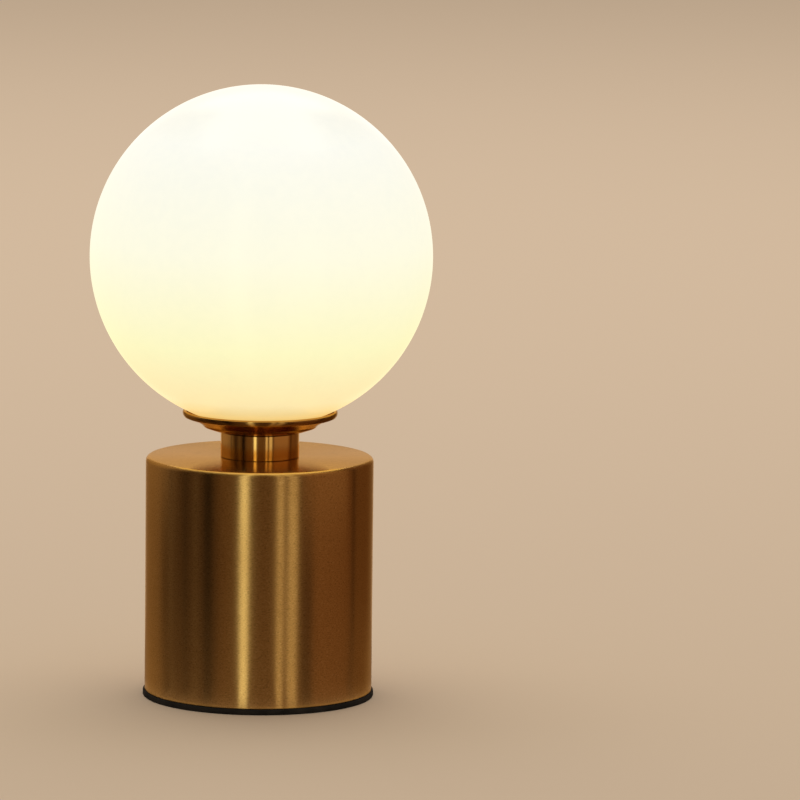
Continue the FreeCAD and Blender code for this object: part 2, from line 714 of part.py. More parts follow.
def dish_inner():
    """Points of the dish's upper side, from its flat middle to the step inside the lip."""
    step = Z_LIP - LIP_DROP
    return [
        (DISH_FLAT_R, Z_CLIP),
        (DISH_PAN_R - DISH_T / 2, Z_DISH + DISH_PAN_RISE + DISH_T),
        (DISH_PAN_R + DISH_KNUCKLE_W - DISH_T / 2, Z_KNUCKLE),
        (DISH_CONE_R - DISH_T / 2, step + DISH_T),
    ]


def globe_dish():
    """Spun dish with a shallow pan, a knuckle, a cone and a rolled lip."""
    hole_r = HOLDER_R + HOLDER_FIT
    step = Z_LIP - LIP_DROP
    step_r = DISH_CONE_R + DISH_STEP_W
    inner = dish_inner()
    wall_r = LIP_R - 2 * LIP_ROLL_R
    bow_z = Z_DISH + DISH_PAN_BOW * DISH_PAN_RISE
    return turned(
        (hole_r, Z_DISH),
        [
            (NECK_R, Z_DISH),
            ((NECK_R + DISH_PAN_R) / 2, bow_z, DISH_PAN_R, Z_DISH + DISH_PAN_RISE),
            (DISH_PAN_R + DISH_KNUCKLE_W, Z_DISH + DISH_PAN_RISE + DISH_KNUCKLE_H),
            (DISH_CONE_R, step),
            (step_r, step),
            ((step_r + LIP_R) / 2 + LIP_FLARE_OUT, step + LIP_FLARE_UP, LIP_R, Z_LIP),
            (LIP_CENTRE_R, Z_LIP + LIP_ROLL_R, wall_r, Z_LIP),
            (wall_r, step + DISH_T + LIP_FILLET),
            (wall_r - LIP_FILLET, step + DISH_T),
            inner[3],
            inner[2],
            inner[1],
            inner[0],
            (hole_r, Z_CLIP),
        ],
    )


def dish_inner_z(radius):
    """Height of the dish's upper side at a radius."""
    points = dish_inner()
    for (r_low, z_low), (r_high, z_high) in zip(points, points[1:]):
        if radius <= r_high:
            return z_low + (radius - r_low) * (z_high - z_low) / (r_high - r_low)
    return points[-1][1]


def globe_seat_ring():
    """Soft ring in the dish under the globe's collar."""
    points = dish_inner()
    inner_r = MOUTH_R - SEAT_LAP / 2
    outer_r = COLLAR_R + SEAT_LAP
    under = [(r, z) for r, z in points if inner_r < r < outer_r]
    steps = under + [(outer_r, dish_inner_z(outer_r)), (outer_r, Z_SEAT), (inner_r, Z_SEAT)]
    return turned((inner_r, dish_inner_z(inner_r)), steps)


def globe():
    """Blown opal ball with a short round-edged collar at its mouth."""
    inner_ball = GLOBE_R - GLOBE_T
    inner_z = Z_GLOBE - math.sqrt(inner_ball**2 - MOUTH_R**2)
    outer_z = Z_GLOBE - math.sqrt(GLOBE_R**2 - COLLAR_R**2)
    diagonal = COLLAR_ROUND * (1 - math.sqrt(0.5))
    return turned(
        (COLLAR_R, outer_z),
        [
            (GLOBE_R, Z_GLOBE, 0, Z_GLOBE + GLOBE_R),
            (0, Z_GLOBE + inner_ball),
            (inner_ball, Z_GLOBE, MOUTH_R, inner_z),
            (MOUTH_R, Z_COLLAR + COLLAR_ROUND),
            (MOUTH_R + diagonal, Z_COLLAR + diagonal, MOUTH_R + COLLAR_ROUND, Z_COLLAR),
            (COLLAR_R - COLLAR_ROUND, Z_COLLAR),
            (COLLAR_R - diagonal, Z_COLLAR + diagonal, COLLAR_R, Z_COLLAR + COLLAR_ROUND),
        ],
    )


def globe_clip():
    """Flat ring under the shade ring with sprung fingers inside the globe's mouth."""
    base = ring(DISH_FLAT_R - CLIP_BASE_IN, HOLDER_R + HOLDER_FIT, Z_CLIP, Z_RING)
    mid = Z_CLIP + CLIP_T / 2
    reach = math.sqrt((MOUTH_R - CLIP_GAP) ** 2 - (CLIP_FINGER_W / 2) ** 2) - CLIP_T / 2
    press_z = Z_COLLAR + (GLOBE_T + COLLAR_H) / 2
    finger = strip(
        [
            (DISH_FLAT_R - CLIP_BASE_IN - CLIP_ROOT, mid),
            (DISH_FLAT_R + CLIP_KNEE_OUT, mid + CLIP_KNEE_UP),
            (DISH_FLAT_R + CLIP_SPAN, Z_SEAT - CLIP_UNDER_SEAT),
            (reach, press_z - CLIP_PRESS_HALF),
            (reach, press_z + CLIP_PRESS_HALF),
            (reach - CLIP_TIP_IN, press_z + CLIP_TIP_UP),
        ],
        CLIP_T,
        CLIP_FINGER_W,
    )
    for index in range(CLIP_FINGERS):
        base = base.fuse(around(finger, 90 + 360 * index / CLIP_FINGERS))
    return base.removeSplitter()


def shade_ring():
    """Ring nut on the lampholder that clamps clip and dish, with finger grips."""
    outer = HOLDER_R + HOLDER_FIT + RING_T
    nut = ring(outer, HOLDER_R + HOLDER_FIT, Z_RING, Z_RING + RING_H)
    for index in range(RING_GRIPS):
        angle = 2 * math.pi * index / RING_GRIPS
        foot = Vec(outer * math.cos(angle), outer * math.sin(angle), Z_RING + 1)
        nut = nut.cut(Part.makeCylinder(RING_GRIP_R, RING_H, foot))
    return nut


def holder_cap():
    """Lower cup of the lampholder, screwed on the tube."""
    room = disc(HOLDER_R - HOLDER_CAP_T, Z_HOLDER + HOLDER_FLOOR_T, Z_BODY + 1)
    hole = disc(HOLE_R, Z_HOLDER - 1, Z_BODY)
    return disc(HOLDER_R, Z_HOLDER, Z_BODY).cut(room).cut(hole)


def shell_strap_x():
    """Distance of the shell contact's strap from the axis."""
    return SHELL_OUT_R + SHELL_STRAP_GAP + STRAP_T / 2


def strap_slot(x):
    """Cutter for a contact strap's slot in the lampholder body."""
    half_x = STRAP_T / 2 + STRAP_CLEAR
    half_y = STRAP_W / 2 + STRAP_CLEAR
    return block(x - half_x, x + half_x, -half_y, half_y, Z_BODY - 1, Z_LEDGE + STRAP_W + STRAP_CLEAR)


def holder_body():
    """Moulded lampholder body: wiring chamber below, stepped bore above."""
    bore_r = SHELL_OUT_R + HOLDER_FIT
    ledge_r = BULB_THREAD_R
    mouth_r = BULB_COLLAR_R + HOLDER_MOUTH_CLEAR
    body = disc(HOLDER_R, Z_BODY, Z_BODY_TOP)
    body = body.cut(disc(HOLDER_R - HOLDER_CAP_T, Z_BODY - 1, Z_WEB))
    body = body.cut(disc(ledge_r, Z_WEB_TOP, Z_LEDGE + 1))
    body = body.cut(disc(bore_r, Z_LEDGE, Z_BODY_TOP + 1))
    body = body.cut(disc(mouth_r, Z_SHELL_TOP, Z_BODY_TOP + 1))
    body = body.cut(strap_slot(LIVE_STRAP_X)).cut(strap_slot(-shell_strap_x()))
    first = Z_RING + RING_H + GROOVE_PITCH
    for index in range(GROOVES):
        low = first + index * GROOVE_PITCH
        body = body.cut(ring(HOLDER_R + 1, HOLDER_R - GROOVE_DEPTH, low, low + GROOVE_W))
    return body


def holder_shell():
    """Threaded sheet shell in the lampholder."""
    outer = thread_bar(SHELL_OUT_R, Z_LEDGE, Z_SHELL_TOP)
    inner = thread_bar(SHELL_IN_R, Z_LEDGE - 1, Z_SHELL_TOP + 1)
    return outer.cut(inner)


def strap_screw_z():
    """Height of the contact straps' screws in the wiring chamber."""
    return (Z_BODY + Z_WEB) / 2


def strap_hole(x):
    """Cutter for a strap's screw hole."""
    start = Vec(x - 2, 0, strap_screw_z())
    return Part.makeCylinder(STRAP_SCREW_R + SCREW_CLEAR, 4, start, Vec(1, 0, 0))


def centre_contact():
    """Bent brass strap whose sprung leaf lies under the bulb's tip."""
    leaf_z = Z_WEB_TOP + LEAF_RISE + STRAP_T / 2
    knee = Z_WEB_TOP + STRAP_T
    bend_in, bend_up = LEAF_BEND
    upright = [(LIVE_STRAP_X, Z_BODY + STRAP_FOOT_UP), (LIVE_STRAP_X, knee)]
    leaf = [(LIVE_STRAP_X - bend_in, knee + bend_up), (LEAF_START_X, leaf_z), (-LEAF_REACH, leaf_z)]
    strap = strip(upright + leaf, STRAP_T, STRAP_W)
    return strap.cut(strap_hole(LIVE_STRAP_X))


def shell_contact():
    """Straight brass strap that bears on the screw shell."""
    x = -shell_strap_x()
    strap = strip([(x, Z_BODY + STRAP_FOOT_UP), (x, Z_LEDGE + STRAP_W)], STRAP_T, STRAP_W)
    return strap.cut(strap_hole(x))


def strap_screw(x, side):
    """Clamping screw of a contact strap. Its head faces away from the axis."""
    along = Vec(side, 0, 0)
    face = Vec(x + side * STRAP_T / 2, 0, strap_screw_z())
    head = Part.makeCylinder(STRAP_SCREW_HEAD_R, STRAP_SCREW_HEAD_T, face, along)
    start = face - along * STRAP_SCREW_L
    shank = Part.makeCylinder(STRAP_SCREW_R, STRAP_SCREW_L, start, along)
    end = x + side * (STRAP_T / 2 + STRAP_SCREW_HEAD_T)
    half = DRIVE_SLOT_W / 2
    inner = end - side * DRIVE_SLOT_DEPTH
    z = strap_screw_z()
    low_x = min(inner, end + side)
    high_x = max(inner, end + side)
    slot = block(low_x, high_x, -STRAP_SCREW_HEAD_R, STRAP_SCREW_HEAD_R, z - half, z + half)
    return head.fuse(shank).cut(slot)


def bulb_tip_contact():
    """Solder tip of the bulb, slightly domed."""
    ball_r = (TIP_R**2 + TIP_DOME**2) / (2 * TIP_DOME)
    half_angle = math.asin(TIP_R / ball_r) / 2
    middle = (ball_r * math.sin(half_angle), Z_TIP + ball_r * (1 - math.cos(half_angle)))
    top = Z_TIP + TIP_H
    return turned((0, Z_TIP), [middle + (TIP_R, Z_TIP + TIP_DOME), (TIP_R, top), (0, top)])


def bulb_insulator():
    """Insulating cone between the bulb's tip and its screw shell."""
    low = Z_TIP + TIP_H
    top_r = BULB_THREAD_ROOT_R
    return turned(
        (0, low),
        [
            (TIP_R + INSULATOR_FOOT, low),
            (top_r, low + INSULATOR_H * INSULATOR_CONE),
            (top_r, Z_THREAD),
            (0, Z_THREAD),
        ],
    )


def bulb_screw_shell():
    """Threaded cap of the bulb with its plain collar."""
    thread = thread_bar(BULB_THREAD_R, Z_THREAD, Z_COLLAR_BULB)
    thread = thread.cut(disc(BULB_THREAD_IN_R, Z_THREAD - 1, Z_COLLAR_BULB + 1))
    flare = BULB_COLLAR_R - BULB_THREAD_ROOT_R
    collar = turned(
        (BULB_THREAD_IN_R, Z_COLLAR_BULB),
        [
            (BULB_THREAD_ROOT_R - COLLAR_START_IN, Z_COLLAR_BULB),
            (BULB_COLLAR_R, Z_COLLAR_BULB + flare / 2),
            (BULB_COLLAR_R, Z_HOUSING),
            (BULB_COLLAR_IN_R, Z_HOUSING),
            (BULB_COLLAR_IN_R, Z_HOUSING - SPIGOT_L),
            (BULB_THREAD_IN_R, Z_HOUSING - SPIGOT_L),
        ],
    )
    return thread.fuse(collar)


def bulb_housing():
    """Moulded flare between the bulb's cap and its diffuser."""
    foot_r = BULB_COLLAR_R + HOUSING_FOOT_OUT
    spigot_r = BULB_COLLAR_IN_R - HOUSING_FIT
    low = Z_HOUSING - SPIGOT_L
    seat_z = Z_JOINT - BOARD_T - LED_BOARD_EDGE
    inner_top = BULB_JOINT_R - HOUSING_T
    waist_r = foot_r + HOUSING_WAIST * (BULB_JOINT_R - foot_r)
    waist_z = Z_HOUSING + HOUSING_H / 2
    return turned(
        (HOUSING_IN_R, low + HOUSING_FIT),
        [
            (spigot_r, low + HOUSING_FIT),
            (spigot_r, Z_HOUSING),
            (foot_r, Z_HOUSING),
            (waist_r, waist_z, BULB_JOINT_R, Z_JOINT),
            (inner_top, Z_JOINT),
            (inner_top, seat_z),
            (inner_top - HOUSING_LEDGE, seat_z),
            (waist_r - HOUSING_T, waist_z),
            (HOUSING_IN_R, Z_HOUSING + HOUSING_T),
        ],
    )


def diffuser_arc_radius(end_r, height):
    """Radius of an arc that leaves the widest point upright and ends at a radius and height."""
    inset = BULB_R - end_r
    return (inset**2 + height**2) / (2 * inset)


def diffuser_outline(inset):
    """Points of the diffuser's side from its lower edge to its tip, moved in by a wall."""
    waist_z = Z_JOINT + BULB_WAIST_UP
    lower_r = diffuser_arc_radius(BULB_JOINT_R, BULB_WAIST_UP)
    upper_h = BULB_TIP_UP - BULB_WAIST_UP
    upper_r = diffuser_arc_radius(BULB_TIP_R, upper_h)
    centre_low = BULB_R - lower_r
    centre_up = BULB_R - upper_r

    def on_lower(z):
        return centre_low + math.sqrt((lower_r - inset) ** 2 - (z - waist_z) ** 2)

    def on_upper(angle):
        radius = upper_r - inset
        return centre_up + radius * math.cos(angle), waist_z + radius * math.sin(angle)

    end_angle = math.asin(upper_h / upper_r)
    tip_ball = BULB_TIP_R / math.cos(end_angle)
    tip_z = Z_JOINT + BULB_TIP_UP - tip_ball * math.sin(end_angle)
    ball_r = tip_ball - inset
    half_angle = (end_angle + math.pi / 2) / 2
    start = (on_lower(Z_JOINT), Z_JOINT)
    middle_z = Z_JOINT + BULB_WAIST_UP / 2
    steps = [
        (on_lower(middle_z), middle_z, BULB_R - inset, waist_z),
        on_upper(end_angle / 2) + on_upper(end_angle),
        (ball_r * math.cos(half_angle), tip_z + ball_r * math.sin(half_angle), 0, tip_z + ball_r),
    ]
    return start, steps


def bulb_diffuser():
    """Candle-shaped opal diffuser of the bulb."""
    start, outer = diffuser_outline(0.0)
    inner_start, inner = diffuser_outline(DIFFUSER_T)
    full = turned(start, outer + [(0, Z_JOINT)])
    hollow = turned(inner_start, inner + [(0, Z_JOINT)])
    return full.cut(hollow)


def led_board():
    """Round board that carries the light sources."""
    low = Z_JOINT - BOARD_T - LED_BOARD_EDGE
    return disc(BULB_JOINT_R - HOUSING_T - LED_BOARD_EDGE, low, low + BOARD_T)


def leds():
    """Light sources on the board."""
    half = LED_SIZE / 2
    low = Z_JOINT - LED_BOARD_EDGE
    for index in range(LEDS):
        chip = block(LED_PITCH_R - half, LED_PITCH_R + half, -half, half, low, low + LED_T)
        yield around(chip, 360 * index / LEDS)


def driver_low():
    """Lower end of the driver board inside the bulb."""
    return Z_JOINT - BOARD_T - LED_BOARD_EDGE - DRIVER_L - 1


def driver_board():
    """Upright circuit board inside the bulb."""
    half = DRIVER_W / 2
    low = driver_low()
    return block(-BOARD_T / 2, BOARD_T / 2, -half, half, low, low + DRIVER_L)


def driver_capacitor():
    """Round capacitor on the driver board."""
    low = driver_low() + DRIVER_PART_UP
    return Part.makeCylinder(CAP_R, CAP_H, Vec(BOARD_T / 2 + CAP_R, 0, low))


def driver_coil():
    """Coil former on the other side of the driver board."""
    half = COIL_SIZE / 2
    face = -BOARD_T / 2
    low = driver_low() + DRIVER_PART_UP
    former = block(face - COIL_SIZE, face, -half, half, low, low + COIL_SIZE)
    core = Part.makeCylinder(half * COIL_CORE_SHARE, 1.0, Vec(face - half, 0, low + COIL_SIZE))
    return former.fuse(core)


def numbered(name, shapes):
    """Name the copies of a repeated piece from 1 up."""
    return {f"{name}_{index}": shape for index, shape in enumerate(shapes, start=1)}


def base_pieces():
    """Pieces of the foot, the can and what it holds."""
    can = base_can()
    pieces = {
        "foot_pad": foot_pad(),
        "base_can": can,
        "closing_plate": closing_plate(),
        "ballast": ballast(),
        "cord_grommet": cord_grommet(can),
        "threaded_tube": threaded_tube(),
        "ballast_washer_lower": washer(Z_RECESS - WASHER_T),
        "ballast_nut_lower": hex_nut(Z_RECESS - WASHER_T - NUT_T),
        "ballast_washer_upper": washer(Z_BALLAST_TOP),
        "ballast_nut_upper": hex_nut(Z_BALLAST_TOP + WASHER_T),
        "can_washer": washer(Z_CAN_ROOF - WASHER_T),
        "can_lock_nut": hex_nut(Z_CAN_ROOF - WASHER_T - LUG_T - NUT_T),
        "earth_lug": earth_lug(),
        "terminal_block": terminal_block(),
        "terminal_block_screw": block_screw(),
        "live_lead": live_lead(),
        "neutral_lead": neutral_lead(),
        "earth_lead": earth_lead(),
    }
    pieces.update(numbered("plate_screw", plate_screws()))
    pieces.update(numbered("terminal_screw", pole_screws()))
    return pieces


def head_pieces():
    """Pieces of the neck, the dish, the lampholder and the globe."""
    return {
        "neck_sleeve": neck_sleeve(),
        "globe_dish": globe_dish(),
        "globe_seat_ring": globe_seat_ring(),
        "globe_clip": globe_clip(),
        "shade_ring": shade_ring(),
        "holder_cap": holder_cap(),
        "holder_body": holder_body(),
        "holder_screw_shell": holder_shell(),
        "centre_contact": centre_contact(),
        "shell_contact": shell_contact(),
        "live_strap_screw": strap_screw(LIVE_STRAP_X, 1),
        "neutral_strap_screw": strap_screw(-shell_strap_x(), -1),
        "globe": globe(),
    }


def bulb_pieces():
    """Pieces of the bulb."""
    pieces = {
        "bulb_tip_contact": bulb_tip_contact(),
        "bulb_insulator": bulb_insulator(),
        "bulb_screw_shell": bulb_screw_shell(),
        "bulb_housing": bulb_housing(),
        "bulb_diffuser": bulb_diffuser(),
        "bulb_led_board": led_board(),
        "bulb_driver_board": driver_board(),
        "bulb_driver_capacitor": driver_capacitor(),
        "bulb_driver_coil": driver_coil(),
    }
    pieces.update(numbered("bulb_led", leds()))
    return pieces


def main():
    """Build every piece and write it out."""
    os.makedirs("parts", exist_ok=True)
    pieces = {**base_pieces(), **head_pieces(), **bulb_pieces()}
    for name, shape in pieces.items():
        shape.exportStep(f"parts/{name}.step")
    print(len(pieces), "pieces")


main()
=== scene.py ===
import logging
import math
from dataclasses import dataclass
from enum import Enum
from functools import cache
from typing import Any, Callable, Sequence

import bmesh
import bpy
from mathutils import Matrix, Vector


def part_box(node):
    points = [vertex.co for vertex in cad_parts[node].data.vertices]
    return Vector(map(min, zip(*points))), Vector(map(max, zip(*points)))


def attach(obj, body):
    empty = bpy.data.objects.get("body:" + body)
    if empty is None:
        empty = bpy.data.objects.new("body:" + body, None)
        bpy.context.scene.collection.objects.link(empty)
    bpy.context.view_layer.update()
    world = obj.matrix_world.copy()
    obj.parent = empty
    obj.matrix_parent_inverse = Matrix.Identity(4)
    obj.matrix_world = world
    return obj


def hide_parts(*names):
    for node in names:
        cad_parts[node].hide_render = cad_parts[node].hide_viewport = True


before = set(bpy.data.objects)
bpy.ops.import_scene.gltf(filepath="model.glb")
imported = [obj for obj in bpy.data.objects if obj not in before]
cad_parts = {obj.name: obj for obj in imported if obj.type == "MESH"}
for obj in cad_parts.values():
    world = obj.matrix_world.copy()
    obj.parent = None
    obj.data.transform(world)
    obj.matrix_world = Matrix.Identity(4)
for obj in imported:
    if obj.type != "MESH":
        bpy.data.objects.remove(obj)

LOG = logging.getLogger("table_lamp")
MM = 0.001
Point = tuple[float, float, float]
Colour = tuple[float, float, float]
Stop = tuple[float, Colour]
Piece = bpy.types.Object
Material = bpy.types.Material
Settings = dict[str, Any] | None
Inputs = dict[Any, Any] | None
UPWARDS: Point = (0.0, 0.0, 1.0)
WELD = 1e-6  # vertices nearer than this are one, metres
SPUN_WELD = 2e-6  # the same on a spun piece, metres
BLACKENED: Colour = (0.02, 0.02, 0.02)  # dirt in the hollows of a rough skin
# colours of the painted shade specks and painted glint specks on brushed metal
PAINTED_SHADE_SPECK: Colour = (0.05, 0.02, 0.005)
PAINTED_GLINT_SPECK: Colour = (1.0, 0.78, 0.42)
# colour of the painted shadow lines at joints between parts
PAINTED_JOINT_SHADOW: Colour = (0.07, 0.022, 0.004)
BRASS_TINT: Colour = (0.94, 0.80, 0.55)  # of what brass mirrors at a flat angle
PHOSPHOR_STRENGTH = 1.5  # of a moulded material's own glow


class Body(Enum):
    """The moving groups that new pieces ride on."""

    BASE = "lamp_base"
    GLOBE = "globe"
    BULB = "bulb"


class Brushing(Enum):
    """How the fine lines of a metal finish run."""

    AROUND = "around"
    ALONG_X = "along_x"
    NONE = "none"


def arithmetic(operation: str, reflected: bool = False) -> Callable[["Signal", "Signal | float"], "Signal"]:
    """Make an operator method that adds a Math node.

    Args:
        operation: The Math node's operation.
        reflected: Whether the other term comes first.

    Returns:
        The method.
    """

    def method(signal: "Signal", other: "Signal | float") -> "Signal":
        """Combine two values."""
        return signal.graph.maths(operation, *((other, signal) if reflected else (signal, other)))

    return method


class Signal:
    """One output socket. Arithmetic on it adds Math nodes."""

    def __init__(self, graph: "Graph", socket: bpy.types.NodeSocket) -> None:
        """Keep the socket and the graph it belongs to."""
        self.graph = graph
        self.socket = socket

    __add__, __radd__ = arithmetic("ADD"), arithmetic("ADD", True)
    __sub__, __rsub__ = arithmetic("SUBTRACT"), arithmetic("SUBTRACT", True)
    __mul__, __rmul__ = arithmetic("MULTIPLY"), arithmetic("MULTIPLY", True)
    __truediv__, __rtruediv__ = arithmetic("DIVIDE"), arithmetic("DIVIDE", True)
    __pow__, __rpow__ = arithmetic("POWER"), arithmetic("POWER", True)

    def __abs__(self) -> "Signal":
        """Size of a value without its sign."""
        return self.graph.maths("ABSOLUTE", self)

    def sine(self) -> "Signal":
        """Sine of a value in radians."""
        return self.graph.maths("SINE", self)

    def ramped(self, low: float, high: float, start: float = 0.0, end: float = 1.0) -> "Signal":
        """Value spread from the range low to high over start to end, and held inside it."""
        inputs = {"Value": self, "From Min": low, "From Max": high, "To Min": start, "To Max": end}
        return self.graph.out("ShaderNodeMapRange", "Result", {"clamp": True}, inputs)


class Graph:
    """Node tree of one material or of the world."""

    def __init__(self, owner: Material | bpy.types.World) -> None:
        """Empty the owner's node tree.

        Args:
            owner: Material or world that the nodes belong to.
        """
        owner.use_nodes = True
        self.tree = owner.node_tree
        self.tree.nodes.clear()

    def node(self, kind: str, settings: Settings = None, inputs: Inputs = None) -> bpy.types.Node:
        """Add a node, give it its settings, then fill its sockets.

        Args:
            kind: Node type.
            settings: Attributes of the node; "stops" are the stops of a colour ramp.
            inputs: Values or signals by socket name or number.

        Returns:
            The new node.
        """
        made = self.tree.nodes.new(kind)
        for key, value in (settings or {}).items():
            if key == "stops":
                self._set_stops(made, value)
            else:
                setattr(made, key, value)
        for key, value in (inputs or {}).items():
            socket = made.inputs[key]
            if isinstance(value, Signal):
                self.tree.links.new(value.socket, socket)
            elif isinstance(value, tuple) and len(value) == 3 and socket.type == "RGBA":
                socket.default_value = (*value, 1.0)
            else:
                socket.default_value = value
        return made

    @staticmethod
    def _set_stops(ramp: bpy.types.Node, stops: Sequence[Stop]) -> None:
        """Put the stops on a colour ramp.

        Args:
            ramp: Colour ramp node.
            stops: Places from 0 to 1 with their colours.
        """
        elements = ramp.color_ramp.elements
        while len(elements) < len(stops):
            elements.new(1.0)
        for element, (place, colour) in zip(elements, stops):
            element.position = place
            element.color = (*colour, 1.0)

    def out(self, kind: str, output: str | int, settings: Settings = None, inputs: Inputs = None) -> Signal:
        """Add a node and return one of its outputs, by name or number, as a signal."""
        return Signal(self, self.node(kind, settings, inputs).outputs[output])

    def maths(self, operation: str, *terms: "Signal | float") -> Signal:
        """Math node on one to three terms."""
        return self.out("ShaderNodeMath", 0, {"operation": operation}, dict(enumerate(terms)))

    def blend(self, factor: Signal, first: Signal | Colour, second: Signal | Colour) -> Signal:
        """Mix two colours: a factor of 0 gives the first and 1 the second."""
        return self.out("ShaderNodeMix", 2, {"data_type": "RGBA"}, {0: factor, 6: first, 7: second})

    def ramp(self, value: Signal, stops: Sequence[Stop]) -> Signal:
        """Colour ramp on a value."""
        return self.out("ShaderNodeValToRGB", "Color", {"stops": stops}, {"Fac": value})

    def axes(self) -> tuple[Signal, Signal, Signal]:
        """Read the piece's own coordinates.

        Returns:
            The three coordinates, mm.
        """
        place = self.out("ShaderNodeTexCoord", "Object")
        scaled = self.out("ShaderNodeVectorMath", 0, {"operation": "SCALE"}, {0: place, "Scale": 1000.0})
        x, y, z = self.node("ShaderNodeSeparateXYZ", inputs={0: scaled}).outputs
        return Signal(self, x), Signal(self, y), Signal(self, z)

    def vector(self, x: Signal | float, y: Signal | float, z: Signal | float) -> Signal:
        """Vector from three values."""
        return self.out("ShaderNodeCombineXYZ", 0, inputs={0: x, 1: y, 2: z})

    def noise(self, vector: Signal, scale: float, detail: float = 3.0, roughness: float = 0.5) -> Signal:
        """Noise from 0 to 1 at a vector, with so many lumps to a unit and finer layers of a strength."""
        inputs = {"Vector": vector, "Scale": scale, "Detail": detail, "Roughness": roughness}
        return self.out("ShaderNodeTexNoise", 0, {"noise_dimensions": "3D"}, inputs)

    def cells(self, vector: Signal, scale: float) -> Signal:
        """Distance to the nearest cell centre at a vector."""
        inputs = {"Vector": vector, "Scale": scale}
        return self.out("ShaderNodeTexVoronoi", "Distance", {"feature": "F1"}, inputs)

    def bump(self, height: Signal, depth: float) -> Signal:
        """Normal of a relief from a height of 0 to 1 and its depth in millimetres."""
        inputs = {"Strength": 1.0, "Distance": depth * MM, "Height": height}
        return self.out("ShaderNodeBump", "Normal", None, inputs)

    def surface(self, inputs: dict[str, Any]) -> None:
        """Close the material with a principled surface."""
        shader = self.out("ShaderNodeBsdfPrincipled", "BSDF", None, inputs)
        self.node("ShaderNodeOutputMaterial", inputs={"Surface": shader})


@dataclass(frozen=True)
class Finish:
    """What every finish shares: its name and the making of its material."""

    name: str  # the material's name too

    @cache
    def make(self) -> Material:
        """Build the material, once for each finish.

        Returns:
            The material with the finish's nodes.
        """
        material = bpy.data.materials.new(self.name)
        self.paint(Graph(material))
        return material

    def paint(self, graph: Graph) -> None:
        """Add the finish's nodes to a graph."""
        raise NotImplementedError


@dataclass(frozen=True)
class MetalFinish(Finish):
    """A metal with fine lines, clouding, a little tarnish, painted glint specks, painted highlight bands and
    painted joint shadows.
    """

    colour: Colour
    tarnish: Colour
    roughness: float
    roughness_spread: float = 0.06
    anisotropy: float = 0.0
    turn: float = 0.0
    brushing: Brushing = Brushing.NONE
    line_pitch: float = 0.5  # distance between brushed lines, mm
    line_depth: float = 0.004  # mm
    cloud_size: float = 22.0  # size of the tarnish clouds, mm
    cloud_share: float = 0.35
    edges: tuple[float, ...] = ()  # heights of edges with painted highlight bands, mm
    # colour of the painted highlight bands
    painted_highlight_colour: Colour = (0.80, 0.60, 0.32)
    edge_tint: Colour = (1.0, 1.0, 1.0)  # tint of what the metal mirrors at a flat angle
    painted_glint: float = 0.0  # how strongly the painted glint specks and painted shade specks of the brushing show
    glint_size: float = 0.45  # their height, mm
    faced_from: float | None = None  # height above which the metal is smoother, mm
    faced_roughness: float = 0.16
    joint_shadows: tuple[float, ...] = ()  # heights of painted shadow lines at joints with the next parts, mm

    def lines(self, graph: Graph) -> Signal:
        """Noise drawn out along the brushing.

        Args:
            graph: Node tree that gets the nodes.

        Returns:
            The lines as a value from 0 to 1.
        """
        x, y, z = graph.axes()
        fine = 1.0 / self.line_pitch
        if self.brushing is Brushing.AROUND:
            radius = (x * x + y * y) ** 0.5
            place = graph.vector(x * 0.02, y * 0.02, (z + radius) * fine)
        elif self.brushing is Brushing.ALONG_X:
            place = graph.vector(x * 0.05, y * fine, z * fine)
        else:
            place = graph.vector(x * fine, y * fine, z * fine)
        return graph.noise(place, 1.0, 4.0, 0.6)

    def glint_specks(self, graph: Graph) -> Signal:
        """Specks of painted glint and painted shade along the brushing, a little longer than high.

        Args:
            graph: Node tree that gets the nodes.

        Returns:
            The specks as a value from 0 to 1.
        """
        x, y, z = graph.axes()
        fine = 1.0 / self.glint_size
        return graph.noise(graph.vector(x * (fine * 0.5), y * (fine * 0.5), z * fine), 1.0, 2.0, 0.7)

    def paint(self, graph: Graph) -> None:
        """Add the finish's nodes.

        Args:
            graph: Node tree that gets them.
        """
        x, y, z = graph.axes()
        lines = self.lines(graph)
        clouds = graph.noise(graph.vector(x, y, z), 1.0 / self.cloud_size, 4.0, 0.55)
        stain = clouds.ramped(0.42, 0.78, 0.0, self.cloud_share)
        colour = graph.blend(stain, self.colour, self.tarnish)
        colour = graph.blend(lines.ramped(0.3, 0.7, 0.0, 0.22), colour, self.tarnish)
        spread = self.roughness_spread
        rough = clouds.ramped(0.3, 0.7, self.roughness - spread, self.roughness + spread)
        rough = rough + (lines - 0.5) * spread
        if self.painted_glint:
            glint_specks = self.glint_specks(graph)
            # painted shade specks, then painted glint specks, in the base colour
            colour = graph.blend(glint_specks.ramped(0.46, 0.30, 0.0, self.painted_glint), colour, PAINTED_SHADE_SPECK)
            colour = graph.blend(glint_specks.ramped(0.54, 0.70, 0.0, self.painted_glint), colour, PAINTED_GLINT_SPECK)
        if self.faced_from is not None:
            faced = (z - self.faced_from).ramped(0.0, 0.5, 0.0, self.roughness - self.faced_roughness)
            rough = rough - faced
        # painted shadow lines where the piece meets the next part
        for height in self.joint_shadows:
            colour = graph.blend(abs(z - height).ramped(0.12, 0.32, 0.85, 0.0), colour, PAINTED_JOINT_SHADOW)
        # painted highlight bands along rounded edges, mottled by the clouds
        for height in self.edges:
            band = abs(z - height).ramped(0.25, 1.1, 0.6, 0.0) * clouds.ramped(0.25, 0.6)
            colour = graph.blend(band, colour, self.painted_highlight_colour)
            rough = rough - band * 0.06
        graph.surface(
            {
                "Base Color": colour,
                "Metallic": 1.0,
                "Roughness": rough,
                "Anisotropic": self.anisotropy,
                "Anisotropic Rotation": self.turn,
                "Specular Tint": (*self.edge_tint, 1.0),
                "Normal": graph.bump(lines, self.line_depth),
            }
        )


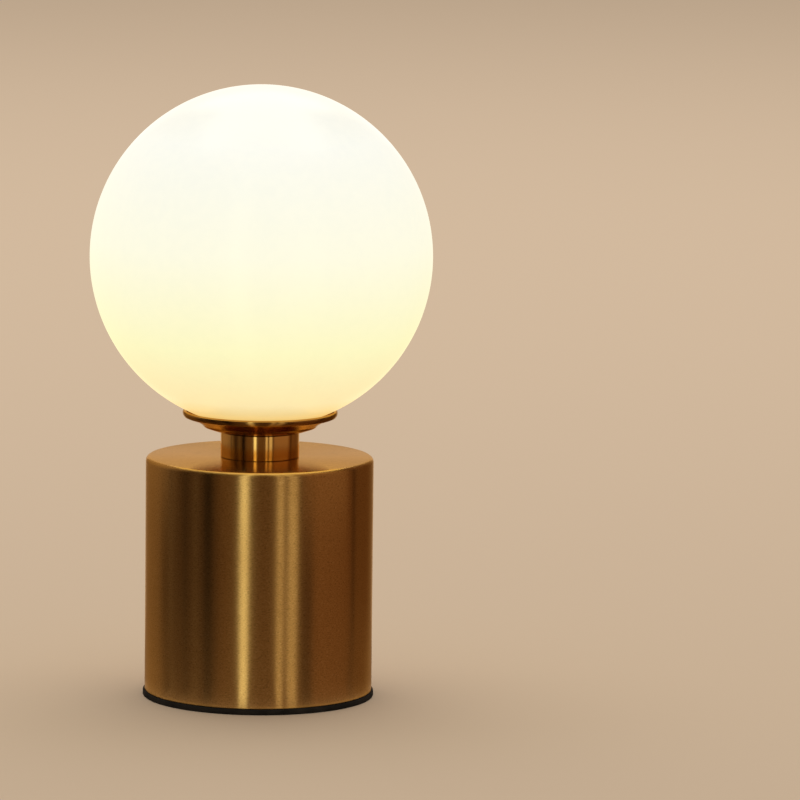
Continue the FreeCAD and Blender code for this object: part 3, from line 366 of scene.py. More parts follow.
@dataclass(frozen=True)
class MouldedFinish(Finish):
    """A moulded, foamed or sleeved material with its grain and shade variation."""

    colour: Colour
    shade: Colour
    roughness: float
    grain: float = 0.6  # size of the grain, mm
    grain_depth: float = 0.01  # mm
    cellular: bool = False
    coat: float = 0.0
    subsurface: float = 0.0
    transmission: float = 0.0
    glow: Colour | None = None
    specular: float = 0.5

    def paint(self, graph: Graph) -> None:
        """Add the finish's nodes.

        Args:
            graph: Node tree that gets them.
        """
        place = graph.vector(*graph.axes())
        size = 1.0 / self.grain
        fine = graph.cells(place, size) if self.cellular else graph.noise(place, size)
        broad = graph.noise(place, 0.12, 2.0)
        colour = graph.blend(broad.ramped(0.35, 0.7), self.colour, self.shade)
        colour = graph.blend(fine.ramped(0.2, 0.8, 0.0, 0.3), colour, self.shade)
        inputs: dict[str, Any] = {
            "Base Color": colour,
            "Roughness": fine.ramped(0.2, 0.8, self.roughness - 0.05, self.roughness + 0.07),
            "Coat Weight": self.coat,
            "Coat Roughness": 0.1,
            "Subsurface Weight": self.subsurface,
            "Subsurface Scale": 0.002,
            "Transmission Weight": self.transmission,
            "Specular IOR Level": self.specular,
            "Normal": graph.bump(fine, self.grain_depth),
        }
        if self.glow is not None:
            inputs["Emission Color"] = graph.blend(fine.ramped(0.2, 0.8, 0.0, 0.2), self.glow, colour)
            inputs["Emission Strength"] = PHOSPHOR_STRENGTH
        graph.surface(inputs)


@dataclass(frozen=True)
class StripedFinish(Finish):
    """A lead's sleeve in two colours, in bands that lean round it."""

    colour: Colour
    stripe: Colour
    pitch: float = 5.0  # mm
    roughness: float = 0.35

    def paint(self, graph: Graph) -> None:
        """Add the finish's nodes.

        Args:
            graph: Node tree that gets them.
        """
        x, y, z = graph.axes()
        wave = ((x * 0.6 + y * 0.8 + z) * (2 * math.pi / self.pitch)).sine()
        fine = graph.noise(graph.vector(x, y, z), 2.5)
        colour = graph.blend(wave.ramped(-0.08, 0.08), self.colour, self.stripe)
        colour = graph.blend(fine.ramped(0.3, 0.8, 0.0, 0.12), colour, BLACKENED)
        rough = fine.ramped(0.2, 0.8, self.roughness - 0.05, self.roughness + 0.08)
        graph.surface({"Base Color": colour, "Roughness": rough, "Normal": graph.bump(fine, 0.01)})


@dataclass(frozen=True)
class CastFinish(Finish):
    """Sand-cast iron with a rough skin and rust in its hollows."""

    colour: Colour
    rust: Colour

    def paint(self, graph: Graph) -> None:
        """Add the finish's nodes.

        Args:
            graph: Node tree that gets them.
        """
        place = graph.vector(*graph.axes())
        skin = graph.noise(place, 1.4, 6.0, 0.7)
        broad = graph.noise(place, 0.09, 4.0)
        colour = graph.blend(broad.ramped(0.55, 0.75, 0.0, 0.5), self.colour, self.rust)
        colour = graph.blend(skin.ramped(0.3, 0.7, 0.0, 0.4), colour, BLACKENED)
        rough = skin.ramped(0.3, 0.7, 0.6, 0.85)
        metal = broad.ramped(0.55, 0.75, 0.8, 0.2)
        relief = graph.bump(skin, 0.25)
        graph.surface({"Base Color": colour, "Roughness": rough, "Metallic": metal, "Normal": relief})


@dataclass(frozen=True)
class OpalGlow(Finish):
    """Opal glass or plastic lit from inside, warmer towards its foot."""

    centre: float  # height of its middle, mm
    reach: float  # from its middle to its end, mm
    stops: tuple[Stop, ...]
    body: Colour
    roughness: float
    ripple: float = 30.0  # size of the surface's slow waves, mm
    ripple_depth: float = 0.05  # mm

    def paint(self, graph: Graph) -> None:
        """Add the finish's nodes.

        Args:
            graph: Node tree that gets them.
        """
        x, y, z = graph.axes()
        place = graph.vector(x, y, z)
        waves = graph.noise(place, 1.0 / self.ripple, 2.0)
        mottle = graph.noise(place, 0.25, 3.0)
        share = (z - self.centre).ramped(-self.reach, self.reach) + (waves - 0.5) * 0.02
        warm = self.stops[2][1]
        glow = graph.blend(mottle.ramped(0.3, 0.8, 0.0, 0.012), graph.ramp(share, self.stops), warm)
        graph.surface(
            {
                "Base Color": graph.blend(mottle.ramped(0.3, 0.7, 0.0, 0.05), self.body, warm),
                "Roughness": mottle.ramped(0.2, 0.8, self.roughness - 0.03, self.roughness + 0.04),
                "Emission Color": glow,
                "Emission Strength": 1.0,
                "Normal": graph.bump(waves, self.ripple_depth),
            }
        )


@dataclass(frozen=True)
class BoardFinish(Finish):
    """Circuit board with copper tracks under a green lacquer."""

    lacquer: Colour
    track: Colour

    def paint(self, graph: Graph) -> None:
        """Add the finish's nodes.

        Args:
            graph: Node tree that gets them.
        """
        x, y, z = graph.axes()
        rows = (z * 2.2).sine().ramped(0.55, 0.7)
        columns = (y * 1.7).sine().ramped(0.6, 0.75)
        patch = graph.noise(graph.vector(x, y, z), 0.25, 1.0).ramped(0.48, 0.52)
        tracks = rows * patch + columns * (1 - patch)
        fine = graph.noise(graph.vector(x, y, z), 3.0)
        colour = graph.blend(tracks, self.lacquer, self.track)
        colour = graph.blend(fine.ramped(0.3, 0.8, 0.0, 0.15), colour, (0.01, 0.05, 0.02))
        rough = fine.ramped(0.2, 0.8, 0.28, 0.4)
        relief = graph.bump(tracks * 0.8 + fine * 0.2, 0.04)
        graph.surface({"Base Color": colour, "Roughness": rough, "Normal": relief})


@dataclass(frozen=True)
class FloorFinish(Finish):
    """Matt pale paint with faint clouds."""

    colour: Colour
    cloud: Colour

    def paint(self, graph: Graph) -> None:
        """Add the finish's nodes.

        Args:
            graph: Node tree that gets them.
        """
        clouds = graph.noise(graph.vector(*graph.axes()), 0.002, 2.0)
        colour = graph.blend(clouds.ramped(0.3, 0.7, 0.0, 0.05), self.colour, self.cloud)
        graph.surface({"Base Color": colour, "Roughness": 0.9, "Specular IOR Level": 0.0})


@dataclass(frozen=True)
class Strip:
    """An upright light or dark strip on the reflection screen."""

    azimuth: float  # degrees from the front, towards the right
    half_width: float  # degrees
    softness: float  # degrees over which each edge fades
    colour: Colour
    low: float = 0.0  # height above which it shows, mm; only the neck mirrors the screen over 84
    share: float = 1.0  # of its colour in the tone that it lies over

    def laid(self, graph: Graph, azimuth: Signal, height: Signal, tone: Signal) -> Signal:
        """Lay the strip over the screen's tone.

        Args:
            graph: The screen's node tree.
            azimuth: Direction from the lamp, degrees.
            height: Height over the floor, mm.
            tone: The screen's tone so far.

        Returns:
            The tone with the strip in it.
        """
        end = self.half_width + self.softness
        inside = abs(azimuth - self.azimuth).ramped(self.half_width, end, self.share, 0.0)
        if self.low:
            inside = inside * height.ramped(self.low - 1.0, self.low + 1.0)
        return graph.blend(inside, tone, self.colour)


@dataclass(frozen=True)
class ScreenFinish(Finish):
    """Glow of the reflection screen, by the direction from the lamp."""

    radius: float  # of the screen, mm
    can_radius: float  # of the can that mirrors it, mm
    reach: float  # degrees to each side of the front
    floor_colour: Colour  # what the part on the floor leans to
    floor_share: float  # how far it leans to that
    tones: tuple[Stop, ...]
    strips: tuple[Strip, ...]

    def paint(self, graph: Graph) -> None:
        """Add the glow's nodes.

        Args:
            graph: Node tree that gets them.
        """
        x, y, height = graph.axes()
        radius = (x * x + y * y) ** 0.5
        # The part on the floor is nearer, so its strips spread for the can to mirror them upright.
        spread = (2.0 - self.can_radius / self.radius) / (2.0 - self.can_radius / radius)
        azimuth = graph.maths("ARCTAN2", x, y * -1.0) * (180.0 / math.pi) * spread
        tone = graph.ramp(azimuth.ramped(-self.reach, self.reach), self.tones)
        for strip in self.strips:
            tone = strip.laid(graph, azimuth, height, tone)
        flat = radius.ramped(self.radius * 0.85, self.radius * 0.99, self.floor_share, 0.0)
        tone = graph.blend(flat, tone, self.floor_colour)
        glow = graph.out("ShaderNodeEmission", 0, None, {"Color": tone})
        graph.node("ShaderNodeOutputMaterial", inputs={"Surface": glow})


@dataclass(frozen=True)
class Corner:
    """A corner of a turned profile, in millimetres, and how far it is rounded."""

    radius: float
    height: float
    rounding: float = 0.0


class Bench:
    """The modelling bench: it starts primitives and works on them with the mesh tools."""

    @staticmethod
    def clear() -> None:
        """Leave edit mode and deselect everything."""
        active = bpy.context.object
        if active is not None and active.mode != "OBJECT":
            Bench.rest()
        bpy.ops.object.select_all(action="DESELECT")

    @staticmethod
    def edit() -> None:
        """Enter edit mode."""
        bpy.ops.object.mode_set(mode="EDIT")

    @staticmethod
    def rest() -> None:
        """Leave edit mode."""
        bpy.ops.object.mode_set(mode="OBJECT")

    @staticmethod
    def select(test: Callable[[Vector], bool]) -> None:
        """Select the vertices of the piece in edit mode whose place passes a test.

        Args:
            test: Takes a vertex's place in metres.
        """
        bpy.ops.mesh.select_mode(type="VERT")
        bpy.ops.mesh.select_all(action="DESELECT")
        mesh = bmesh.from_edit_mesh(bpy.context.object.data)
        for vert in mesh.verts:
            if test(vert.co):
                vert.select = True
        mesh.select_flush(True)
        bmesh.update_edit_mesh(bpy.context.object.data)

    @staticmethod
    def select_faces(test: Callable[[Vector, Vector], bool]) -> None:
        """Select the faces whose middle and normal pass a test.

        Args:
            test: Takes a face's middle and normal.
        """
        bpy.ops.mesh.select_mode(type="FACE")
        bpy.ops.mesh.select_all(action="DESELECT")
        mesh = bmesh.from_edit_mesh(bpy.context.object.data)
        for face in mesh.faces:
            if test(face.calc_center_median(), face.normal):
                face.select = True
        mesh.select_flush_mode()
        bmesh.update_edit_mesh(bpy.context.object.data)

    @staticmethod
    def weld(reach: float = WELD) -> None:
        """Merge doubles and point the faces outwards.

        Args:
            reach: Vertices nearer than this are merged, metres.
        """
        bpy.ops.mesh.select_all(action="SELECT")
        bpy.ops.mesh.remove_doubles(threshold=reach)
        bpy.ops.mesh.normals_make_consistent(inside=False)

    @staticmethod
    def close(name: str, angle: float = 32.0) -> Piece:
        """Merge doubles, point the faces outwards and finish the piece at the origin.

        Args:
            name: The piece's name.
            angle: Edges sharper than this stay sharp, in degrees.

        Returns:
            The finished piece.
        """
        piece = bpy.context.object
        if piece.mode != "EDIT":
            Bench.edit()
        Bench.weld()
        Bench.rest()
        bpy.ops.object.transform_apply(location=True, rotation=True, scale=True)
        bpy.ops.object.shade_smooth_by_angle(angle=math.radians(angle))
        piece.name = name
        piece.data.name = name
        return piece

    @staticmethod
    def apply(kind: str, **settings: Any) -> None:
        """Add a modifier to the active piece and apply it.

        Args:
            kind: Modifier type.
            **settings: Its settings.
        """
        piece = bpy.context.object
        modifier = piece.modifiers.new(kind.title(), kind)
        for key, value in settings.items():
            setattr(modifier, key, value)
        bpy.ops.object.modifier_apply(modifier=modifier.name)

    @classmethod
    def turn(
        cls, name: str, corners: Sequence[Corner], steps: int, base: Point, axis: Point = UPWARDS
    ) -> Piece:
        """Lathe a closed profile: a ring of edges is pulled to its corners, then spun.

        Args:
            name: The piece's name.
            corners: Corners of the section in order, radii and heights in millimetres.
            steps: Number of steps round the axis.
            base: Point on the axis that heights start from, in metres.
            axis: Direction of the axis.

        Returns:
            The turned piece.
        """
        along = Vector(axis).normalized()
        outward = Vector((1.0, 0.0, 0.0))
        start = Vector(base)
        places = [start + outward * (c.radius * MM) + along * (c.height * MM) for c in corners]
        cls.clear()
        bpy.ops.mesh.primitive_circle_add(vertices=len(corners), radius=0.01, fill_type="NOTHING")
        Bench.edit()
        for index, place in enumerate(places):
            mesh = bmesh.from_edit_mesh(bpy.context.object.data)
            mesh.verts.ensure_lookup_table()
            here = mesh.verts[index].co.copy()
            bpy.ops.mesh.select_all(action="DESELECT")
            mesh.verts[index].select = True
            bmesh.update_edit_mesh(bpy.context.object.data)
            bpy.ops.transform.translate(value=place - here)
        bpy.ops.mesh.select_all(action="SELECT")
        bpy.ops.mesh.spin(steps=steps, angle=2 * math.pi, center=start, axis=along)
        cls.weld(SPUN_WELD)
        for corner in corners:
            if corner.rounding:
                cls._round(start, along, corner)
        return cls.close(name)

    @classmethod
    def _round(cls, start: Vector, along: Vector, corner: Corner) -> None:
        """Bevel the ring of edges that a corner left.

        Args:
            start: Point on the axis that heights start from.
            along: Direction of the axis.
            corner: The corner whose ring is rounded.
        """

        def on_ring(place: Vector) -> bool:
            """Tell whether a vertex lies on the corner's ring.

            Args:
                place: The vertex's place.

            Returns:
                True on the ring.
            """
            height = (place - start).dot(along)
            radius = (place - start - along * height).length
            return max(abs(height - corner.height * MM), abs(radius - corner.radius * MM)) < SPUN_WELD

        cls.select(on_ring)
        bpy.ops.mesh.bevel(offset=corner.rounding * MM, segments=4, profile=0.5, affect="EDGES")


def arc(centre: tuple[float, float], radius: float, start: float, end: float, count: int) -> list[Corner]:
    """Corners along an arc of a profile.

    Args:
        centre: Radius and height of the arc's centre, mm.
        radius: The arc's radius, mm.
        start: First angle from the outward direction, degrees.
        end: Last angle, degrees.
        count: Number of corners, ends included.

    Returns:
        The corners in order.
    """
    corners = []
    for index in range(count):
        angle = math.radians(start + (end - start) * index / (count - 1))
        corners.append(Corner(centre[0] + radius * math.cos(angle), centre[1] + radius * math.sin(angle)))
    return corners


def box_mm(node: str) -> tuple[Vector, Vector]:
    """Lowest and highest corner of a frame node in millimetres."""
    low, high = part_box(node)
    return Vector(low) / MM, Vector(high) / MM


def dress(piece: Piece, finish: Finish) -> None:
    """Give a piece a finish as its only material."""
    piece.data.materials.clear()
    piece.data.materials.append(finish.make())


def fit(piece: Piece, body: Body, node: str, finish: Finish) -> None:
    """Dress a new piece and put it in the frame.

    Args:
        piece: The new piece.
        body: Group that it moves with.
        node: Frame node that it stands for.
        finish: Its finish.
    """
    dress(piece, finish)
    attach(piece, body.value)
    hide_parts(node)
    LOG.info("%s: %d faces, rides on %s", piece.name, len(getattr(piece.data, "polygons", [])), body.value)


def refinish(finish: Finish, *names: str) -> None:
    """Give frame nodes a finish over their own mesh.

    Args:
        finish: Their finish.
        *names: The nodes' names.
    """
    for name in names:
        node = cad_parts[name]
        if not node.material_slots:
            node.data.materials.append(finish.make())
        for slot in node.material_slots:
            slot.material = finish.make()
        LOG.info("%s: keeps its mesh, finish %s", name, finish.name)


def numbered(stem: str, count: int) -> list[str]:
    """Names of a repeated node, from 1 up."""
    return [f"{stem}_{index}" for index in range(1, count + 1)]


BRUSHED_BRASS = MetalFinish(
    "brushed_brass", (0.70, 0.45, 0.19), (0.56, 0.31, 0.11), 0.30, 0.02, 0.92, 0.25, Brushing.AROUND, 0.55,
    0.003, 34.0, 0.3, (105.5, 3.0), (1.0, 0.66, 0.22), BRASS_TINT, 0.36, 0.42, faced_from=105.6,
    faced_roughness=0.17,
)
POLISHED_BRASS = MetalFinish(
    "polished_brass", (0.90, 0.57, 0.22), (0.72, 0.41, 0.13), 0.15, 0.02, 0.7, 0.25, Brushing.AROUND, 0.4,
    # painted shadow lines where the neck meets the can and the dish
    0.0015, 9.0, 0.25, (106.8,), (0.92, 0.66, 0.30), BRASS_TINT, joint_shadows=(106.1, 117.2),
)
DISH_BRASS = MetalFinish(
    "dish_brass", (0.42, 0.225, 0.070), (0.31, 0.14, 0.040), 0.20, 0.03, 0.6, 0.25, Brushing.AROUND, 0.45,
    0.002, 14.0, 0.4, (126.2,), (0.78, 0.56, 0.25), (0.86, 0.68, 0.42),
)
CONTACT_BRASS = MetalFinish(
    "contact_brass", (0.76, 0.56, 0.26), (0.46, 0.28, 0.10), 0.28, 0.06, 0.2, 0.0, Brushing.ALONG_X, 0.4,
    0.003, 4.0, edge_tint=BRASS_TINT,
)
SPRING_STEEL = MetalFinish(
    "spring_steel", (0.62, 0.62, 0.60), (0.42, 0.40, 0.36), 0.26, 0.06, 0.3, 0.0, Brushing.ALONG_X, 0.3,
    0.003, 8.0,
)
NICKEL_SHELL = MetalFinish(
    "nickel_shell", (0.72, 0.70, 0.64), (0.52, 0.48, 0.40), 0.22, 0.05, 0.2, 0.0, Brushing.AROUND, 0.5,
    0.003, 7.0,
)
ZINC_STEEL = MetalFinish(
    "zinc_steel", (0.60, 0.60, 0.58), (0.45, 0.44, 0.38), 0.34, 0.08, line_pitch=0.8, cloud_size=12.0
)
PLATED_SCREW = MetalFinish(
    "plated_screw", (0.68, 0.66, 0.58), (0.46, 0.42, 0.30), 0.25, 0.08, line_pitch=0.4, cloud_size=2.5
)
TIP_SOLDER = MetalFinish(
    "tip_solder", (0.58, 0.58, 0.55), (0.36, 0.36, 0.34), 0.40, 0.08, line_pitch=0.7, line_depth=0.02,
    cloud_size=2.0,
)
BOARD_ALUMINIUM = MetalFinish(
    "board_aluminium", (0.82, 0.82, 0.80), (0.68, 0.68, 0.66), 0.42, line_pitch=1.2, cloud_size=6.0
)
CAST_IRON = CastFinish("cast_iron", (0.10, 0.10, 0.10), (0.16, 0.06, 0.02))
FOOT_FOAM = MouldedFinish(
    "foot_foam", (0.009, 0.008, 0.007), (0.022, 0.018, 0.014), 0.9, 0.7, 0.10, cellular=True, specular=0.15
)
BLACK_RUBBER = MouldedFinish("black_rubber", (0.020, 0.020, 0.020), (0.035, 0.034, 0.032), 0.55, 0.5, 0.02)
CREAM_PLASTIC = MouldedFinish("cream_plastic", (0.80, 0.76, 0.62), (0.72, 0.66, 0.50), 0.42, 0.6, 0.012)
BLACK_MOULDING = MouldedFinish(
    "black_moulding", (0.022, 0.021, 0.020), (0.045, 0.042, 0.038), 0.38, 0.4, 0.012
)
CLEAR_SILICONE = MouldedFinish(
    "clear_silicone", (0.70, 0.68, 0.62), (0.60, 0.57, 0.50), 0.30, 1.2, 0.01, subsurface=0.3,
    transmission=0.25,
)
BLACK_INSULATOR = MouldedFinish(
    "black_insulator", (0.010, 0.010, 0.012), (0.030, 0.028, 0.026), 0.12, 0.8, 0.01, coat=0.5
)
WHITE_MOULDING = MouldedFinish(
    "white_moulding", (0.84, 0.83, 0.79), (0.76, 0.74, 0.68), 0.30, 0.5, 0.008, coat=0.3
)
CAPACITOR_SLEEVE = MouldedFinish(
    "capacitor_sleeve", (0.02, 0.022, 0.035), (0.05, 0.05, 0.07), 0.28, 0.8, 0.01, coat=0.3
)
COIL_FORMER = MouldedFinish("coil_former", (0.34, 0.13, 0.04), (0.16, 0.05, 0.015), 0.40, 0.35, 0.05)
LED_PHOSPHOR = MouldedFinish(
    "led_phosphor", (0.90, 0.72, 0.18), (0.80, 0.56, 0.10), 0.45, 0.3, 0.02, cellular=True,
    glow=(1.0, 0.85, 0.50),
)
GREEN_BOARD = BoardFinish("green_board", (0.010, 0.085, 0.030), (0.05, 0.20, 0.07))
BROWN_SLEEVE = StripedFinish("brown_lead", (0.13, 0.045, 0.018), (0.11, 0.038, 0.014), 7.0)
BLUE_SLEEVE = StripedFinish("blue_lead", (0.02, 0.09, 0.34), (0.018, 0.075, 0.29), 7.0)
EARTH_SLEEVE = StripedFinish("earth_lead", (0.55, 0.52, 0.03), (0.04, 0.22, 0.05), 4.0)
PALE_FLOOR = FloorFinish("pale_floor", (0.62, 0.48, 0.35), (0.59, 0.45, 0.32))
SCREEN_GLOW = ScreenFinish(
    "reflection_screen", 200.0, 50.0, 150.0, (0.52, 0.36, 0.20), 0.14,
    tones=(
        (0.0, (0.26, 0.17, 0.10)),
        (0.13, (0.18, 0.11, 0.055)),
        (0.165, (0.062, 0.035, 0.016)),
        (0.36, (0.060, 0.032, 0.015)),
        (0.39, (0.122, 0.066, 0.028)),
        (0.60, (0.105, 0.055, 0.025)),
        (0.655, (0.070, 0.032, 0.014)),
        (0.68, (0.165, 0.074, 0.027)),
        (0.80, (0.155, 0.068, 0.025)),
        (0.86, (0.13, 0.060, 0.022)),
        (0.93, (0.13, 0.060, 0.024)),
        (1.0, (0.26, 0.17, 0.10)),
    ),
    strips=(
        Strip(-114.0, 22.0, 14.0, (0.36, 0.24, 0.13), 85.0, 0.6),
        Strip(-89.6, 1.5, 3.0, (0.100, 0.066, 0.038)),
        Strip(-71.5, 1.6, 2.4, (0.034, 0.020, 0.010)),
        Strip(-60.0, 1.5, 3.0, (0.095, 0.061, 0.032)),
        Strip(-47.1, 2.8, 2.5, (0.012, 0.007, 0.004)),
        Strip(-13.4, 2.6, 2.0, (1.27, 1.22, 0.78)),
        Strip(18.8, 1.8, 1.8, (0.74, 0.60, 0.35)),
        Strip(30.4, 3.2, 2.2, (0.67, 0.54, 0.31)),
        Strip(98.9, 1.8, 1.8, (0.045, 0.020, 0.008)),
        Strip(44.5, 3.0, 3.0, (0.036, 0.015, 0.006)),
        Strip(64.0, 22.0, 5.0, (0.275, 0.150, 0.070), 84.5),
    ),
)
OPAL_GLASS_STOPS: tuple[Stop, ...] = (
    (0.00, (0.68, 0.42, 0.12)),
    (0.045, (0.80, 0.55, 0.18)),
    (0.10, (0.92, 0.76, 0.40)),
    (0.27, (0.92, 0.89, 0.52)),
    (0.55, (0.92, 0.91, 0.73)),
    (0.85, (0.88, 0.89, 0.82)),
    (1.0, (0.80, 0.80, 0.72)),
)


@dataclass
class Foot:
    """Thin foam pad under the can, closed above by plate and ballast."""

    rim: float = 0.45  # rounding of the pad's edges, mm
    groove_in: float = 3.2  # from the pad's edge to the pressed ring under it, mm
    groove_w: float = 1.4
    groove_depth: float = 0.5
    steps: int = 144
    under: float = -0.9  # a face that looks down has a normal with a z below this

    def pad(self) -> Piece:
        """Model the pad from a cylinder with rounded rims and a pressed ring below.

        Returns:
            The pad.
        """
        low, high = box_mm("foot_pad")
        radius = high.x
        Bench.clear()
        middle = (low.z + high.z) / 2 * MM
        bpy.ops.mesh.primitive_cylinder_add(
            vertices=self.steps, radius=radius * MM, depth=(high.z - low.z) * MM, location=(0, 0, middle)
        )
        Bench.edit()
        Bench.select_faces(lambda place, normal: normal.z < self.under)
        bpy.ops.mesh.inset(thickness=self.groove_in * MM)
        bpy.ops.mesh.inset(thickness=self.groove_w * MM)
        bpy.ops.mesh.select_all(action="DESELECT")
        band = (radius - self.groove_in - self.groove_w / 2) * MM

        def in_groove(place: Vector, normal: Vector) -> bool:
            """Tell whether a face looks down from between the two rings."""
            return normal.z < self.under and abs(place.to_2d().length - band) < self.groove_w / 4 * MM

        Bench.select_faces(in_groove)
        bpy.ops.mesh.extrude_region_move(TRANSFORM_OT_translate={"value": (0, 0, self.groove_depth * MM)})
        Bench.select(lambda place: abs(place.to_2d().length - radius * MM) < WELD)
        bpy.ops.mesh.bevel(offset=self.rim * MM, segments=3, profile=0.5, affect="EDGES")
        return Bench.close("foot_pad_soft")

    def build(self) -> None:
        """Build and dress the foot."""
        fit(self.pad(), Body.BASE, "foot_pad", FOOT_FOAM)
        refinish(CAST_IRON, "ballast")


@dataclass
class BaseCan:
    """Drawn brass can with its cord bush at the back."""

    sheet: float = 1.2  # mm, as are all sizes of the pieces
    edge: float = 2.0  # rounding of the upper edge
    hem: float = 0.35  # rounding of the lower edge
    hole: float = 5.1  # radius of the tube's hole
    inlet: float = 5.0  # radius of the cord hole
    bush_bore: float = 3.6
    bush_lip: float = 0.5  # rounding of the bush's edges
    bush_play: float = 0.1  # gap between the bush and the can
    flange_in: float = 0.3  # how far the inner flange ends before the sheet
    steps: int = 192
    bush_steps: int = 64
    cut_steps: int = 48
    cut_length: float = 30.0
    smooth: float = 30.0  # edges of the cut can that are sharper than this stay sharp, degrees

    def can(self) -> Piece:
        """Turn the can and cut its cord hole.

        Returns:
            The can.
        """
        low, high = box_mm("base_can")
        radius = high.x
        height = high.z - low.z
        inner = radius - self.sheet
        corners = [
            Corner(inner, 0.0, 0.2),
            Corner(radius, 0.0, self.hem),
            Corner(radius, height, self.edge),
            Corner(self.hole, height),
            Corner(self.hole, height - self.sheet),
            Corner(inner, height - self.sheet, self.edge - self.sheet),
        ]
        can = Bench.turn("base_can_skin", corners, self.steps, (0.0, 0.0, low.z * MM))
        bush_low, bush_high = box_mm("cord_grommet")
        place = Vector((0.0, radius, (bush_low.z + bush_high.z) / 2)) * MM
        Bench.clear()
        bpy.ops.mesh.primitive_cylinder_add(
            vertices=self.cut_steps,
            radius=self.inlet * MM,
            depth=self.cut_length * MM,
            location=place,
            rotation=(math.pi / 2, 0, 0),
        )
        cutter = bpy.context.object
        Bench.clear()
        can.select_set(True)
        bpy.context.view_layer.objects.active = can
        Bench.apply("BOOLEAN", operation="DIFFERENCE", object=cutter, solver="EXACT")
        bpy.data.objects.remove(cutter, do_unlink=True)
        bpy.ops.object.shade_smooth_by_angle(angle=math.radians(self.smooth))
        return can

    def bush(self) -> Piece:
        """Turn the soft bush round the cord's axis.

        Returns:
            The bush.
        """
        low, high = box_mm("cord_grommet")
        level = (low.z + high.z) / 2
        outer = (high.z - low.z) / 2
        length = high.y - low.y
        inside = box_mm("base_can")[1].x - low.y - self.sheet
        groove = self.inlet - self.bush_play
        groove_low, groove_high = inside - self.flange_in, inside + self.sheet - self.bush_play
        corners = [
            Corner(self.bush_bore, 0.0, self.bush_lip),
            Corner(outer, 0.0, self.bush_lip),
            Corner(outer, groove_low, 0.2),
            Corner(groove, groove_low),
            Corner(groove, groove_high),
            Corner(outer, groove_high, 0.2),
            Corner(outer, length, self.bush_lip),
            Corner(self.bush_bore, length, self.bush_lip),
        ]
        base = (0.0, low.y * MM, level * MM)
        return Bench.turn("cord_bush", corners, self.bush_steps, base, axis=(0.0, 1.0, 0.0))

    def build(self) -> None:
        """Build and dress the can."""
        fit(self.can(), Body.BASE, "base_can", BRUSHED_BRASS)
        fit(self.bush(), Body.BASE, "cord_grommet", BLACK_RUBBER)


@dataclass
class Neck:
    """Short polished sleeve between can and dish."""

    wall: float = 1.0
    edge: float = 0.4  # rounding of its outer edges
    hole: float = 5.1  # radius of the tube's hole
    steps: int = 128

    def sleeve(self) -> Piece:
        """Turn the sleeve with its floor.

        Returns:
            The sleeve.
        """
        low, high = box_mm("neck_sleeve")
        radius = high.x
        height = high.z - low.z
        corners = [
            Corner(self.hole, 0.0),
            Corner(radius, 0.0, self.edge),
            Corner(radius, height, self.edge),
            Corner(radius - self.wall, height, 0.15),
            Corner(radius - self.wall, self.wall, 0.2),
            Corner(self.hole, self.wall),
        ]
        return Bench.turn("neck_sleeve_polished", corners, self.steps, (0.0, 0.0, low.z * MM))

    def build(self) -> None:
        """Build and dress the neck."""
        fit(self.sleeve(), Body.BASE, "neck_sleeve", POLISHED_BRASS)


